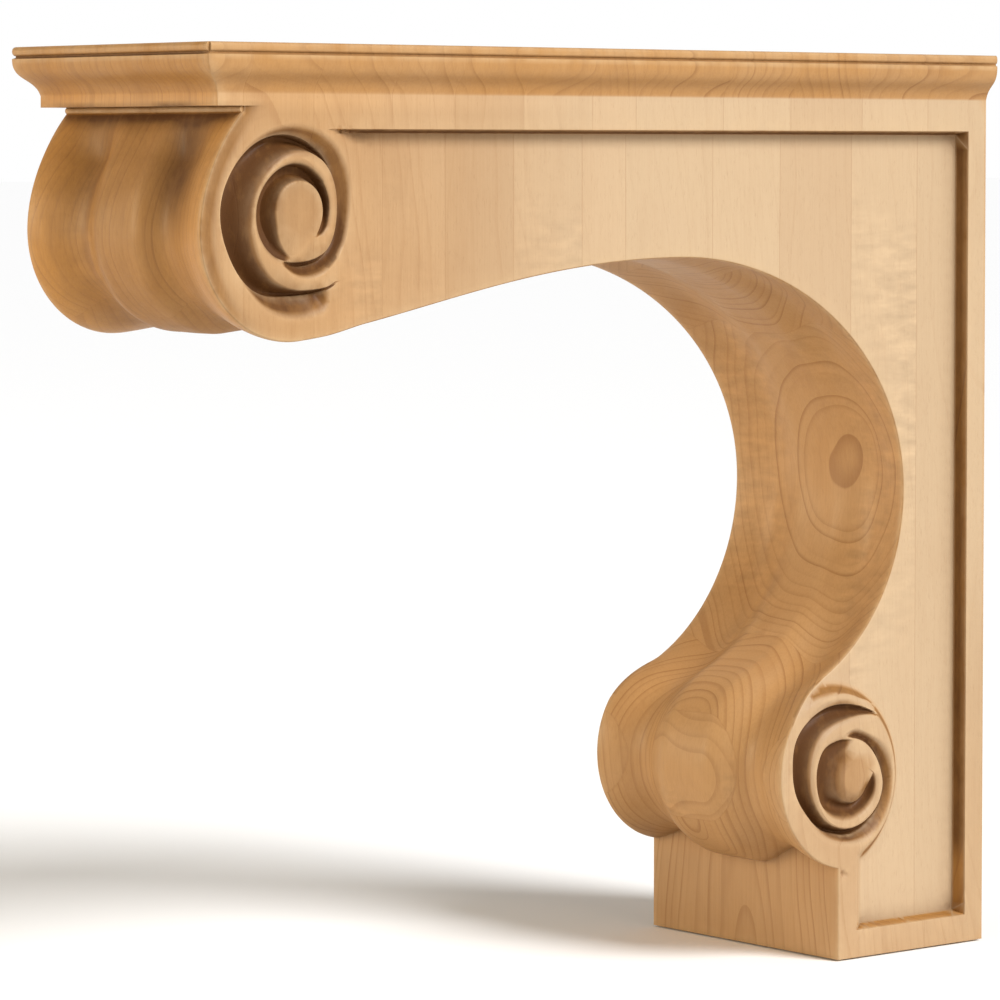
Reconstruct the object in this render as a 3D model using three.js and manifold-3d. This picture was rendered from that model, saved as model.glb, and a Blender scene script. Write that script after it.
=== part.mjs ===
// Range hood corbel, carved from one glued-up block of maple staves.
// Millimetres, +Z up. The wall face lies on Y = 0, the corbel reaches out along -Y and X runs across it.
// The origin is the centre of the wall face.
import * as THREE from 'three';
import { mergeVertices } from 'three/addons/utils/BufferGeometryUtils.js';
import Module from 'manifold-3d';

const wasm = await Module();
wasm.setup();

// Overall sizes
const DEPTH = 560;
const HEIGHT = 513;
const BODY_WIDTH = 159;

// Cap moulding: a top bead, a quirk, an ogee and a plain fillet, mitred round the front and both sides
const CAP_PROJECTION = 9;
const CAP_HEIGHT = 32;
const CAP_BEAD = 5;
const CAP_QUIRK = 1.4;
const CAP_FILLET = 6;
const CAP_EASING = 1.2;

// Neck bead under the cap
const NECK_SETBACK = 20;
const NECK_BEAD_RADIUS = 1.9;
const NECK_BEAD_GAP = 0.4;

// Front scroll at the end of the arm
const FRONT_SCROLL_RADIUS = 56;
const FRONT_SCROLL_SETBACK = 2;
const FRONT_SCROLL_DROP = 96.5;

// Arm, at its thinnest, and leg, at the deepest point of the big curve
const ARM_THICKNESS = 113.5;
const ARM_THIN_FROM_WALL = 228;
const LEG_THICKNESS = 57;
const LEG_THIN_DROP = 248.5;

// Lower scroll and the plinth under it
const LOWER_SCROLL_RADIUS = 55.5;
const LOWER_SCROLL_FROM_WALL = 104;
const LOWER_SCROLL_LIFT = 106.5;
const PLINTH_DEPTH = 115;

// Hollowed front: a rim at each side, two valleys and a bulge along the middle
const VALLEY_DEPTH_SCROLL = 8;
const VALLEY_DEPTH_CURVE = 5;
const VALLEY_PLACE = 0.66;
const BULGE_EDGE = 0.2;
const BULGE_BELOW_RIM_FRONT = 2.4;
const BULGE_ABOVE_RIM_LOWER = 3.2;

// Bevelled cheek between the front of the top scroll and its volute
const CHEEK_BEVEL_WIDTH = 9;
const CHEEK_BEVEL_DEPTH = 3.5;

// Recessed field on each side, inside the rail, the back stile and the plinth
const FIELD_RECESS = 8.5;
const FIELD_WALL_SLOPE = 2;
const RAIL_BELOW_CAP = 17.5;
const STILE_WIDTH = 14;
const PLINTH_STILE_WIDTH = 13;
const PLINTH_RAIL_HEIGHT = 15.5;
const FIELD_START_FROM_FRONT = 80;
const FIELD_FADE_LENGTH = 32;
const FIELD_CORNER_EASING = 3;

// Raised ground that carries the lower volute
const LOWER_GROUND_RADIUS = 46;
const LOWER_GROUND_FADE = 11;
const LOWER_GROUND_SHIFT = new THREE.Vector2(-14, -4);

// Volutes: a groove of two turns round a plain eye, steep on its outer side
const EYE_RADIUS = 14.5;
const INNER_TURN_RADIUS = 25;
const OUTER_TURN_RADIUS = 45.5;
const CREST_WIDTH = 5.5;
const GROOVE_EDGE = 1.5;
const GROOVE_SHOULDER = 6.5;
const INNER_GROOVE_DEPTH = 6;
const OUTER_GROOVE_DEPTH = 8;
const SHALLOW_SIDE = 0.65;
const FRONT_EYE_SHIFT = new THREE.Vector2(6.5, 10.5);
const FRONT_TURN_SHIFT = new THREE.Vector2(-5, -3);
const LOWER_EYE_SHIFT = new THREE.Vector2(0.5, 2.5);
const LOWER_TURN_SHIFT = new THREE.Vector2(-4, -5.5);
const LOWER_VOLUTE_SCALE = 0.95;

// Groove route in degrees round the eye: its two ends, and where it leaves the inner turn
const GROOVE_START = -50;
const GROOVE_END = 690;
const TURN_CHANGE = 270;
const TURN_CHANGE_LENGTH = 130;
const GROOVE_FADE = 75;

// Fineness of the facets
const ACROSS_STEPS = 18;
const LOWER_SCROLL_STEPS = 14;
const GROOVE_STEP = 12;

// Levels and places worked out from the sizes above
const TOP = HEIGHT / 2;
const BOTTOM = -HEIGHT / 2;
const HALF = BODY_WIDTH / 2;
const SOFFIT = TOP - CAP_HEIGHT;
const OGEE_FOOT = SOFFIT + CAP_FILLET;
const FOOT_FRONT = -(DEPTH - CAP_PROJECTION);
const NECK_FRONT = FOOT_FRONT + NECK_SETBACK;
const FIELD_HALF = HALF - FIELD_RECESS;
const FRONT_SCROLL = new THREE.Vector2(
  FRONT_SCROLL_SETBACK + FRONT_SCROLL_RADIUS - DEPTH,
  TOP - FRONT_SCROLL_DROP,
);
const LOWER_SCROLL = new THREE.Vector2(-LOWER_SCROLL_FROM_WALL, BOTTOM + LOWER_SCROLL_LIFT);
const ARM_THIN = new THREE.Vector2(-ARM_THIN_FROM_WALL, TOP - ARM_THICKNESS);
const LEG_THIN = new THREE.Vector2(-LEG_THICKNESS, TOP - LEG_THIN_DROP);
const FIELD_START = FIELD_START_FROM_FRONT - DEPTH;
const PLINTH_STILE_EDGE = PLINTH_STILE_WIDTH - PLINTH_DEPTH;
const LOWER_GROUND = LOWER_SCROLL.clone().add(LOWER_GROUND_SHIFT);

const mix = THREE.MathUtils.lerp;
const smooth = (value) => THREE.MathUtils.smoothstep(value, 0, 1);
const radians = THREE.MathUtils.degToRad;

// Solids

// Lofts through closed loops of points and closes both ends. flatten turns an end's points to 2-D.
function loft(loops, flatten) {
  const count = loops[0].length;
  const points = loops.flat();
  const faces = [];
  for (let i = 0; i + 1 < loops.length; i += 1) {
    for (let j = 0; j < count; j += 1) {
      const a = i * count + j;
      const b = i * count + ((j + 1) % count);
      faces.push([a, b, b + count], [a, b + count, a + count]);
    }
  }
  const capFaces = (loop) => {
    const flat = loop.map(flatten);
    const turned = THREE.ShapeUtils.area(flat) < 0;
    const order = flat.map((_, index) => (turned ? count - 1 - index : index));
    const triangles = THREE.ShapeUtils.triangulateShape(order.map((index) => flat[index]), []);
    return triangles.map((face) => {
      const corners = face.map((index) => order[index]);
      return turned ? corners.reverse() : corners;
    });
  };
  const last = (loops.length - 1) * count;
  capFaces(loops[0]).forEach(([a, b, c]) => faces.push([c, b, a]));
  capFaces(loops.at(-1)).forEach(([a, b, c]) => faces.push([a + last, b + last, c + last]));
  const sixfoldVolume = faces.reduce((sum, [a, b, c]) => {
    const normal = new THREE.Vector3().crossVectors(points[b], points[c]);
    return sum + points[a].dot(normal);
  }, 0);
  const outward = sixfoldVolume < 0 ? faces.map(([a, b, c]) => [a, c, b]) : faces;
  const geometry = new THREE.BufferGeometry().setFromPoints(points);
  geometry.setIndex(outward.flat());
  return geometry;
}

function toSolid(geometry) {
  geometry.deleteAttribute('normal');
  geometry.deleteAttribute('uv');
  const merged = mergeVertices(geometry);
  const vertProperties = new Float32Array(merged.attributes.position.array);
  const triVerts = new Uint32Array(merged.index.array);
  return new wasm.Manifold(new wasm.Mesh({ numProp: 3, vertProperties, triVerts }));
}

// The same loops on the other side of the middle plane
const mirrored = (loops) => loops.map((loop) => loop.map((p) => new THREE.Vector3(-p.x, p.y, p.z)));
const sideView = (point) => new THREE.Vector2(point.y, point.z);
const planView = (point) => new THREE.Vector2(point.x, point.y);

// Body

// How far the side's surface lies in from its outer level, before the volutes are cut
function sideDepth(y, z) {
  const onPlinthStile = y < PLINTH_STILE_EDGE && z < LOWER_SCROLL.y;
  if (onPlinthStile) return 0;
  const fromStart = (y - FIELD_START) / FIELD_FADE_LENGTH;
  const distance = Math.hypot(y - LOWER_GROUND.x, z - LOWER_GROUND.y);
  const fromGround = (distance - LOWER_GROUND_RADIUS) / LOWER_GROUND_FADE;
  return FIELD_RECESS * THREE.MathUtils.clamp(Math.min(fromStart, fromGround), 0, 1);
}

// A curve that leaves one point along a direction and reaches another along its own, both unit vectors
function sweepBetween(start, leaving, end, reaching, firstReach, lastReach) {
  const span = start.distanceTo(end);
  const first = start.clone().addScaledVector(leaving, span * firstReach);
  const last = end.clone().addScaledVector(reaching, -span * lastReach);
  return new THREE.CubicBezierCurve(start, first, last, end);
}

const onCircle = (centre, radius, degrees) =>
  new THREE.Vector2(
    centre.x + radius * Math.cos(radians(degrees)),
    centre.y + radius * Math.sin(radians(degrees)),
  );
const alongCircle = (degrees) =>
  new THREE.Vector2(-Math.sin(radians(degrees)), Math.cos(radians(degrees)));

const SCROLL_FRONT_ANGLE = 178;
const SCROLL_UNDER_ANGLE = 276;
const LOWER_SCROLL_TOP_ANGLE = 114;

// The underside from the neck to the top of the lower scroll, as stretches that run into each other.
// Each has its curve, its steps, and from its start to its end the depth of the valleys, the depth of
// the bulge and how much of the cheek bevel it has, all measured in from the rims.
function undersideStretches() {
  const neck = new THREE.Vector2(NECK_FRONT, SOFFIT - NECK_BEAD_RADIUS);
  const scrollFront = onCircle(FRONT_SCROLL, FRONT_SCROLL_RADIUS, SCROLL_FRONT_ANGLE);
  const scrollUnder = onCircle(FRONT_SCROLL, FRONT_SCROLL_RADIUS, SCROLL_UNDER_ANGLE);
  const lowerTop = onCircle(LOWER_SCROLL, LOWER_SCROLL_RADIUS, LOWER_SCROLL_TOP_ANGLE);
  const neckWay = new THREE.Vector2(-0.68, -0.73);
  const level = new THREE.Vector2(1, 0);
  const down = new THREE.Vector2(0, -1);
  return [
    {
      curve: sweepBetween(neck, neckWay, scrollFront, alongCircle(SCROLL_FRONT_ANGLE), 0.33, 0.33),
      steps: 8,
      valley: [0, VALLEY_DEPTH_SCROLL],
      bulge: [0, BULGE_BELOW_RIM_FRONT],
      bevel: [0.6, 1],
    },
    {
      curve: new THREE.EllipseCurve(
        FRONT_SCROLL.x, FRONT_SCROLL.y, FRONT_SCROLL_RADIUS, FRONT_SCROLL_RADIUS,
        radians(SCROLL_FRONT_ANGLE), radians(SCROLL_UNDER_ANGLE),
      ),
      steps: 12,
      valley: [VALLEY_DEPTH_SCROLL, VALLEY_DEPTH_SCROLL],
      bulge: [BULGE_BELOW_RIM_FRONT, BULGE_BELOW_RIM_FRONT],
      bevel: [1, 0],
    },
    {
      curve: sweepBetween(scrollUnder, alongCircle(SCROLL_UNDER_ANGLE), ARM_THIN, level, 0.3, 0.42),
      steps: 13,
      valley: [VALLEY_DEPTH_SCROLL, VALLEY_DEPTH_CURVE],
      bulge: [BULGE_BELOW_RIM_FRONT, 0],
      bevel: [0, 0],
    },
    {
      curve: new THREE.EllipseCurve(
        ARM_THIN.x, LEG_THIN.y, LEG_THIN.x - ARM_THIN.x, ARM_THIN.y - LEG_THIN.y,
        Math.PI / 2, 0, true,
      ),
      steps: 16,
      valley: [VALLEY_DEPTH_CURVE, VALLEY_DEPTH_CURVE],
      bulge: [0, 0],
      bevel: [0, 0],
    },
    {
      curve: sweepBetween(LEG_THIN, down, lowerTop, alongCircle(LOWER_SCROLL_TOP_ANGLE), 0.36, 0.36),
      steps: 10,
      valley: [VALLEY_DEPTH_CURVE, VALLEY_DEPTH_SCROLL],
      bulge: [0, -BULGE_ABOVE_RIM_LOWER],
      bevel: [0, 0],
    },
  ];
}

// How far the hollowed front lies in from the rims at a place across
function hollow(across, half, valley, bulge) {
  const place = Math.abs(across) / half;
  if (place >= 1) return 0;
  if (place > VALLEY_PLACE) return valley * smooth((1 - place) / (1 - VALLEY_PLACE));
  return mix(bulge, valley, smooth((place - BULGE_EDGE) / (VALLEY_PLACE - BULGE_EDGE)));
}

function cheekBevel(across) {
  return CHEEK_BEVEL_WIDTH * Math.max(0, 1 - (HALF - Math.abs(across)) / CHEEK_BEVEL_DEPTH);
}

// The body's outline at one place across its width
function bodyLoop(across) {
  const loop = [new THREE.Vector3(across, NECK_FRONT, OGEE_FOOT)];
  const put = (y, z) => loop.push(new THREE.Vector3(across, y, z));
  const halfAt = (point) => HALF - sideDepth(point.x, point.y);
  for (const stretch of undersideStretches()) {
    for (let i = 0; i < stretch.steps; i += 1) {
      const along = i / stretch.steps;
      const point = stretch.curve.getPoint(along);
      const tangent = stretch.curve.getTangent(along);
      const [valley, bulge, bevel] = [stretch.valley, stretch.bulge, stretch.bevel]
        .map(([first, last]) => mix(first, last, smooth(along)));
      const sink = hollow(across, halfAt(point), valley, bulge) + bevel * cheekBevel(across);
      put(point.x - tangent.y * sink, point.y + tangent.x * sink);
    }
  }
  const radiusAt = (half) =>
    LOWER_SCROLL_RADIUS - hollow(across, half, VALLEY_DEPTH_SCROLL, -BULGE_ABOVE_RIM_LOWER);
  const meeting = (LOWER_SCROLL_FROM_WALL - PLINTH_DEPTH) / radiusAt(HALF);
  const lastAngle = 360 - THREE.MathUtils.radToDeg(Math.acos(meeting));
  for (let i = 0; i <= LOWER_SCROLL_STEPS; i += 1) {
    const angle = mix(LOWER_SCROLL_TOP_ANGLE, lastAngle, i / LOWER_SCROLL_STEPS);
    const half = halfAt(onCircle(LOWER_SCROLL, LOWER_SCROLL_RADIUS, angle));
    const point = onCircle(LOWER_SCROLL, radiusAt(half), angle);
    put(point.x, point.y);
  }
  put(-PLINTH_DEPTH, BOTTOM);
  put(0, BOTTOM);
  put(0, OGEE_FOOT);
  return loop;
}

// Places across for the body's outlines: even ones between the recessed sides, then one at the
// inner edge of the cheek bevel and one at the outer level
function placesAcross() {
  const places = [];
  for (let i = 0; i <= ACROSS_STEPS; i += 1) places.push(mix(-FIELD_HALF, FIELD_HALF, i / ACROSS_STEPS));
  const outer = [HALF - CHEEK_BEVEL_DEPTH, HALF];
  return [...outer.map((place) => -place).reverse(), ...places, ...outer];
}

function bodySolid() {
  return toSolid(loft(placesAcross().map(bodyLoop), sideView));
}

// Cap and neck bead

// The moulding's section from the soffit up: how far each point stands out, and its height
function capSection() {
  const quirk = TOP - CAP_BEAD;
  const ogeeTop = quirk - CAP_QUIRK;
  const rise = ogeeTop - OGEE_FOOT;
  const ogee = new THREE.CubicBezierCurve(
    new THREE.Vector2(0, OGEE_FOOT),
    new THREE.Vector2(0.2 * CAP_PROJECTION, OGEE_FOOT + 0.5 * rise),
    new THREE.Vector2(1.02 * CAP_PROJECTION, ogeeTop - 0.6 * rise),
    new THREE.Vector2(CAP_PROJECTION, ogeeTop),
  );
  return [
    new THREE.Vector2(0, SOFFIT),
    ...ogee.getPoints(12),
    new THREE.Vector2(CAP_PROJECTION - CAP_EASING, quirk),
    new THREE.Vector2(CAP_PROJECTION, quirk + CAP_EASING),
    new THREE.Vector2(CAP_PROJECTION, TOP - CAP_EASING),
    new THREE.Vector2(CAP_PROJECTION - CAP_EASING, TOP),
  ];
}

function capSolid() {
  const loops = capSection().map(({ x: out, y: level }) => [
    new THREE.Vector3(-HALF - out, 0, level),
    new THREE.Vector3(HALF + out, 0, level),
    new THREE.Vector3(HALF + out, FOOT_FRONT - out, level),
    new THREE.Vector3(-HALF - out, FOOT_FRONT - out, level),
  ]);
  return toSolid(loft(loops, planView));
}

function neckBeadSolid() {
  const length = BODY_WIDTH - 2 * CHEEK_BEVEL_DEPTH;
  const geometry = new THREE.CylinderGeometry(NECK_BEAD_RADIUS, NECK_BEAD_RADIUS, length, 12);
  geometry.rotateZ(Math.PI / 2);
  geometry.translate(0, NECK_FRONT, SOFFIT - NECK_BEAD_GAP - NECK_BEAD_RADIUS);
  return toSolid(geometry);
}

// Recessed fields

// The field's outline, seen from the side. inset draws its straight edges in, fade its soft ones.
function fieldOutline(inset, fade) {
  const top = SOFFIT + CAP_FILLET - RAIL_BELOW_CAP - inset;
  const back = -STILE_WIDTH - inset;
  const low = BOTTOM + PLINTH_RAIL_HEIGHT + inset;
  const plinthEdge = PLINTH_STILE_EDGE + inset;
  const start = FIELD_START + FIELD_FADE_LENGTH * fade;
  const groundRadius = LOWER_GROUND_RADIUS + LOWER_GROUND_FADE * fade;
  const ease = FIELD_CORNER_EASING;
  const openAir = FRONT_SCROLL.y - 2 * FRONT_SCROLL_RADIUS;
  const outline = [
    new THREE.Vector2(start, openAir),
    new THREE.Vector2(start, top - ease),
    new THREE.Vector2(start + ease, top),
    new THREE.Vector2(back - ease, top),
    new THREE.Vector2(back, top - ease),
    new THREE.Vector2(back, low + ease),
    new THREE.Vector2(back - ease, low),
    new THREE.Vector2(plinthEdge + ease, low),
    new THREE.Vector2(plinthEdge, low + ease),
  ];
  const firstAngle = THREE.MathUtils.radToDeg(Math.acos((plinthEdge - LOWER_GROUND.x) / groundRadius));
  const steps = 22;
  for (let i = 0; i <= steps; i += 1) {
    outline.push(onCircle(LOWER_GROUND, groundRadius, mix(-firstAngle, 140, i / steps)));
  }
  outline.push(new THREE.Vector2(LOWER_GROUND.x - LOWER_SCROLL_RADIUS, openAir));
  return outline;
}

function fieldLoops() {
  const level = (outline, x) => outline.map((point) => new THREE.Vector3(x, point.x, point.y));
  const rim = fieldOutline(0, 0);
  const floor = fieldOutline(FIELD_WALL_SLOPE, 1);
  return [level(floor, FIELD_HALF), level(rim, HALF), level(rim, HALF + CAP_PROJECTION)];
}

// Volutes

// turn is 1 where the groove winds anticlockwise outwards on the +X side, -1 where it winds clockwise
const FRONT_VOLUTE = {
  eye: FRONT_SCROLL.clone().add(FRONT_EYE_SHIFT),
  turnShift: FRONT_TURN_SHIFT,
  scale: 1,
  turn: 1,
};
const LOWER_VOLUTE = {
  eye: LOWER_SCROLL.clone().add(LOWER_EYE_SHIFT.clone().multiplyScalar(-1)),
  turnShift: LOWER_TURN_SHIFT.clone().multiply(new THREE.Vector2(1, -1)),
  scale: LOWER_VOLUTE_SCALE,
  turn: -1,
};

// The groove's cross-section at one angle, as radius and depth from its outer edge to its inner one
function grooveSection(angle) {
  const turned = smooth((angle - TURN_CHANGE) / TURN_CHANGE_LENGTH);
  const opening = smooth((angle - GROOVE_START) / GROOVE_FADE);
  const closing = smooth((GROOVE_END - angle) / GROOVE_FADE);
  const fade = Math.min(opening, closing);
  const rightness = (1 + Math.cos(radians(angle))) / 2;
  const inner = mix(EYE_RADIUS, INNER_TURN_RADIUS + CREST_WIDTH, turned);
  const outer = mix(mix(inner + GROOVE_EDGE, INNER_TURN_RADIUS, opening), OUTER_TURN_RADIUS, turned);
  const shoulder = GROOVE_EDGE + GROOVE_SHOULDER * turned * rightness;
  const full = mix(INNER_GROOVE_DEPTH, OUTER_GROOVE_DEPTH * mix(1, SHALLOW_SIDE, rightness), turned);
  const depth = 0.05 + full * fade;
  const floor = outer - Math.min(shoulder, (outer - inner) / 2);
  return [
    [outer, 0],
    [floor, depth],
    [mix(inner, floor, 0.3), depth * mix(0.85, 0.4, turned)],
    [inner, 0],
  ];
}

function grooveLoop(volute, angle) {
  const turned = smooth((angle - TURN_CHANGE) / TURN_CHANGE_LENGTH);
  const centre = volute.eye.clone().addScaledVector(volute.turnShift, turned);
  const way = new THREE.Vector2(Math.cos(radians(angle)), volute.turn * Math.sin(radians(angle)));
  const section = grooveSection(angle);
  const place = ([radius, depth]) => {
    const spot = centre.clone().addScaledVector(way, radius * volute.scale);
    const level = HALF - sideDepth(spot.x, spot.y) - depth;
    return new THREE.Vector3(level, spot.x, spot.y);
  };
  const cut = section.map(place);
  const above = HALF + CAP_PROJECTION;
  const lid = [cut.at(-1), cut[0]].map((point) => new THREE.Vector3(above, point.y, point.z));
  return [...cut, ...lid];
}

// The groove is cut in stretches of part of a turn, so that none meets itself
function grooveStretches(volute) {
  const stretches = [];
  const stretchLength = 12 * GROOVE_STEP;
  for (let from = GROOVE_START; from < GROOVE_END; from += stretchLength) {
    const to = Math.min(from + stretchLength, GROOVE_END);
    const steps = Math.ceil((to - from) / GROOVE_STEP);
    const loops = [];
    for (let i = 0; i <= steps; i += 1) loops.push(grooveLoop(volute, mix(from, to, i / steps)));
    stretches.push({ loops, centre: volute.eye });
  }
  return stretches;
}

function cutVolute(block, volute) {
  let carved = block;
  for (const { loops, centre } of grooveStretches(volute)) {
    const radial = (point) =>
      new THREE.Vector2(Math.hypot(point.y - centre.x, point.z - centre.y), Math.abs(point.x));
    carved = carved.subtract(toSolid(loft(loops, radial)));
    carved = carved.subtract(toSolid(loft(mirrored(loops), radial)));
  }
  return carved;
}

// The corbel

// The cuts can leave a chip without thickness where they graze each other, so the largest body is kept
const largestBody = (solid) =>
  solid.decompose().reduce((kept, other) => (other.volume() > kept.volume() ? other : kept));

function corbelGeometry() {
  let block = bodySolid();
  const field = fieldLoops();
  block = block.subtract(toSolid(loft(field, sideView)));
  block = block.subtract(toSolid(loft(mirrored(field), sideView)));
  block = cutVolute(block, FRONT_VOLUTE);
  block = cutVolute(block, LOWER_VOLUTE);
  block = block.add(capSolid()).add(neckBeadSolid());
  const mesh = largestBody(block).getMesh();
  const geometry = new THREE.BufferGeometry();
  geometry.setAttribute('position', new THREE.BufferAttribute(new Float32Array(mesh.vertProperties), 3));
  geometry.setIndex(new THREE.BufferAttribute(new Uint32Array(mesh.triVerts), 1));
  geometry.computeVertexNormals();
  return geometry;
}

const maple = new THREE.MeshStandardMaterial({ color: 0xd7ae7c, roughness: 0.42, metalness: 0 });
const corbel = new THREE.Mesh(corbelGeometry(), maple);
corbel.name = 'corbel';

const model = new THREE.Group();
model.add(corbel);
export default model;
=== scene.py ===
"""A range hood corbel, carved from one glued-up block of maple staves.

The corbel's solid is loaded as a frame. Round it this script carves the finished form, gives it a
lacquered maple finish with painted shade in its hollows and a painted highlight on its ridges, and sets up
a plain floor, soft lights and a camera.
Lengths are metres. The wall face lies on Y = 0, the corbel reaches out along -Y and Z is up.
"""

import math

import bmesh
import bpy
import numpy as np
from bpy.props import FloatProperty, FloatVectorProperty, PointerProperty
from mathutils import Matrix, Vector
from mathutils.bvhtree import BVHTree
from mathutils.geometry import delaunay_2d_cdt


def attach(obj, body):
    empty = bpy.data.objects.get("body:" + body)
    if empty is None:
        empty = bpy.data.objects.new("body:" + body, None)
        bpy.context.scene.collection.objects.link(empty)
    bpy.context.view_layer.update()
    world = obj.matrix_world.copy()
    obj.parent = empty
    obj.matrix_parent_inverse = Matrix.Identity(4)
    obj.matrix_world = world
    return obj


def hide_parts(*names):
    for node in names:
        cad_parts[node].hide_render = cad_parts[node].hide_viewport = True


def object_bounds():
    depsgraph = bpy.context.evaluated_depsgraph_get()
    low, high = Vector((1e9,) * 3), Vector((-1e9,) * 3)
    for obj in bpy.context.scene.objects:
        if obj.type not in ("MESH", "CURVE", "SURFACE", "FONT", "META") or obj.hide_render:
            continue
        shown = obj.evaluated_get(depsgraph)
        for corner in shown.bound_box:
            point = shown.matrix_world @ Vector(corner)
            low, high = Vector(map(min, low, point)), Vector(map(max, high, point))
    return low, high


bl_info = {
    "name": "Range hood corbel",
    "version": (1, 0, 0),
    "blender": (4, 5, 0),
    "location": "View3D > Sidebar > Corbel",
    "description": "Carves a maple range hood corbel and sets up a studio for it",
    "category": "Add Mesh",
}

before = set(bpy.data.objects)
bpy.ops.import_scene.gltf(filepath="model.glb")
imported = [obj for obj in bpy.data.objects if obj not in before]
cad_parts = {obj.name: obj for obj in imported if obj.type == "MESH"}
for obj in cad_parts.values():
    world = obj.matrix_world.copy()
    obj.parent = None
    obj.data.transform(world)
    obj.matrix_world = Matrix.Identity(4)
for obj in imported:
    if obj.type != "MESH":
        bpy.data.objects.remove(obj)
FRAME_LOW, FRAME_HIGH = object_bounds()
MM = 0.001


def length(name, description, default):
    """A property that holds a length in metres."""
    return FloatProperty(
        name=name, description=description, default=default, unit="LENGTH", precision=4
    )


def factor(name, description, default):
    """A property that holds a share from 0 to 1."""
    return FloatProperty(
        name=name, description=description, default=default, subtype="FACTOR", min=0, max=1
    )


def angle(name, description, degrees):
    """A property that holds an angle."""
    return FloatProperty(
        name=name, description=description, default=math.radians(degrees), subtype="ANGLE"
    )


def colour(name, description, default):
    """A property that holds a colour."""
    return FloatVectorProperty(
        name=name, description=description, default=default, subtype="COLOR", min=0, max=1
    )


class BlockSizes(bpy.types.PropertyGroup):
    """Sizes of the cap, the neck and the plinth."""

    cap_projection: length("Cap projection", "How far the cap stands out past the sides", 0.009)
    cap_front: length("Cap front", "From the cap's front edge back to its foot", 0.012)
    cap_height: length("Cap height", "From the soffit to the top", 0.032)
    cap_bead: length("Cap bead", "Height of the bead along the cap's top edge", 0.005)
    cap_quirk: length("Cap quirk", "Height of the fine groove under the bead", 0.0014)
    cap_fillet: length("Cap fillet", "Height of the plain band at the cap's foot", 0.006)
    cap_easing: length("Cap easing", "Radius of the bead's worn edges", 0.0012)
    neck_setback: length("Neck setback", "From the cap's foot back to the neck", 0.020)
    neck_bead_radius: length("Neck bead radius", "Radius of the bead under the soffit", 0.0019)
    neck_bead_sunk: length("Neck bead sunk", "How far that bead reaches into the soffit", 0.0002)
    plinth_depth: length("Plinth depth", "From the wall to the front of the plinth", 0.115)
    plinth_stile: length("Plinth stile", "Width of the plain stile at the plinth's front", 0.013)
    arris: length("Arris", "Radius of the worn edges between front and sides", 0.0013)


class ScrollSizes(bpy.types.PropertyGroup):
    """Sizes of the two scrolls, the arm and the leg."""

    front_radius: length("Front radius", "Radius of the front scroll", 0.056)
    front_setback: length("Front setback", "From the cap's front back to the scroll", 0.002)
    front_drop: length("Front drop", "From the top down to the scroll's centre", 0.0965)
    arm_thickness: length("Arm thickness", "From the top to the arm's thinnest place", 0.1135)
    arm_thin: length("Arm thin place", "From the wall to the arm's thinnest place", 0.228)
    leg_thickness: length("Leg thickness", "From the wall to the big curve", 0.057)
    leg_thin: length("Leg thin place", "From the top to the leg's thinnest place", 0.2485)
    lower_radius: length("Lower radius", "Radius of the lower scroll", 0.0555)
    lower_from_wall: length("Lower from wall", "From the wall to the scroll's centre", 0.104)
    lower_lift: length("Lower lift", "From the foot up to the scroll's centre", 0.1065)


class HollowSizes(bpy.types.PropertyGroup):
    """Sizes of the hollowed front."""

    front_valley: length("Front valley", "Depth of the two valleys on the front scroll", 0.0095)
    scroll_valley: length("Scroll valley", "Depth of the two valleys on the lower scroll", 0.008)
    curve_valley: length("Curve valley", "Depth of the two valleys on the big curve", 0.005)
    front_place: factor("Front place", "Where the front valleys lie, from middle to rim", 0.46)
    valley_place: factor("Valley place", "Where the other valleys lie, from middle to rim", 0.58)
    bulge_edge: factor("Bulge edge", "Where the middle bulge ends", 0.19)
    front_bulge: length("Front bulge", "How far the front bulge stays under the rims", 0.0024)
    lower_bulge: length("Lower bulge", "How far the lower bulge stands past the rims", 0.0032)
    tool_marks: length("Tool marks", "Height of the slight waves left by the gouge", 0.00014)
    cheek_width: length("Cheek width", "Width of the bevelled cheek of the front scroll", 0.0105)
    cheek_depth: length("Cheek depth", "How far the cheek falls away to the front", 0.0014)


class FieldSizes(bpy.types.PropertyGroup):
    """Sizes of the recessed field on each side."""

    recess: length("Recess", "Depth of the recessed field", 0.0085)
    wall_run: length("Wall run", "How much its walls slope inwards", 0.0024)
    rail: length("Rail", "From the cap's ogee down to the field", 0.0175)
    stile: length("Stile", "Width of the stile along the wall", 0.014)
    plinth_rail: length("Plinth rail", "Height of the rail along the foot", 0.0155)
    stile_ramp: length("Stile ramp", "Slope from the plinth's stile down to the field", 0.014)
    start: length("Start", "From the cap's front back to where the field begins", 0.080)
    fade: length("Fade", "Length over which the field sinks to its depth", 0.032)
    ground_radius: length("Ground radius", "Raised ground round the lower volute", 0.046)
    ground_fade: length("Ground fade", "Slope from that ground down to the field", 0.011)


class VoluteSizes(bpy.types.PropertyGroup):
    """Sizes of the spiral grooves."""

    depth_share: factor("Depth share", "Depth of the grooves beside their greatest depth", 1.0)
    roll: length("Roll", "Width over which the crest is rounded off", 0.0034)
    roll_drop: length("Roll drop", "How far the crest falls before a wall begins", 0.0012)
    front_dome: length("Front dome", "How far the front eye is rounded off", 0.0006)
    lower_dome: length("Lower dome", "How far the lower eye is rounded off", 0.0032)


def smooth(value):
    """Eases from 0 to 1 as the value goes from 0 to 1."""
    share = np.clip(value, 0.0, 1.0)
    return share * share * (3 - 2 * share)


def mix(first, last, share):
    """The value at a share of the way from the first to the last."""
    return first + (last - first) * share


def on_circle(centre, radius, turn):
    """The place on a circle at an angle."""
    return np.stack([centre[0] + radius * np.cos(turn), centre[1] + radius * np.sin(turn)], -1)


def way_round(degrees):
    """The direction in which a circle is followed at an angle."""
    turn = math.radians(degrees)
    return np.array([-math.sin(turn), math.cos(turn)])


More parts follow.
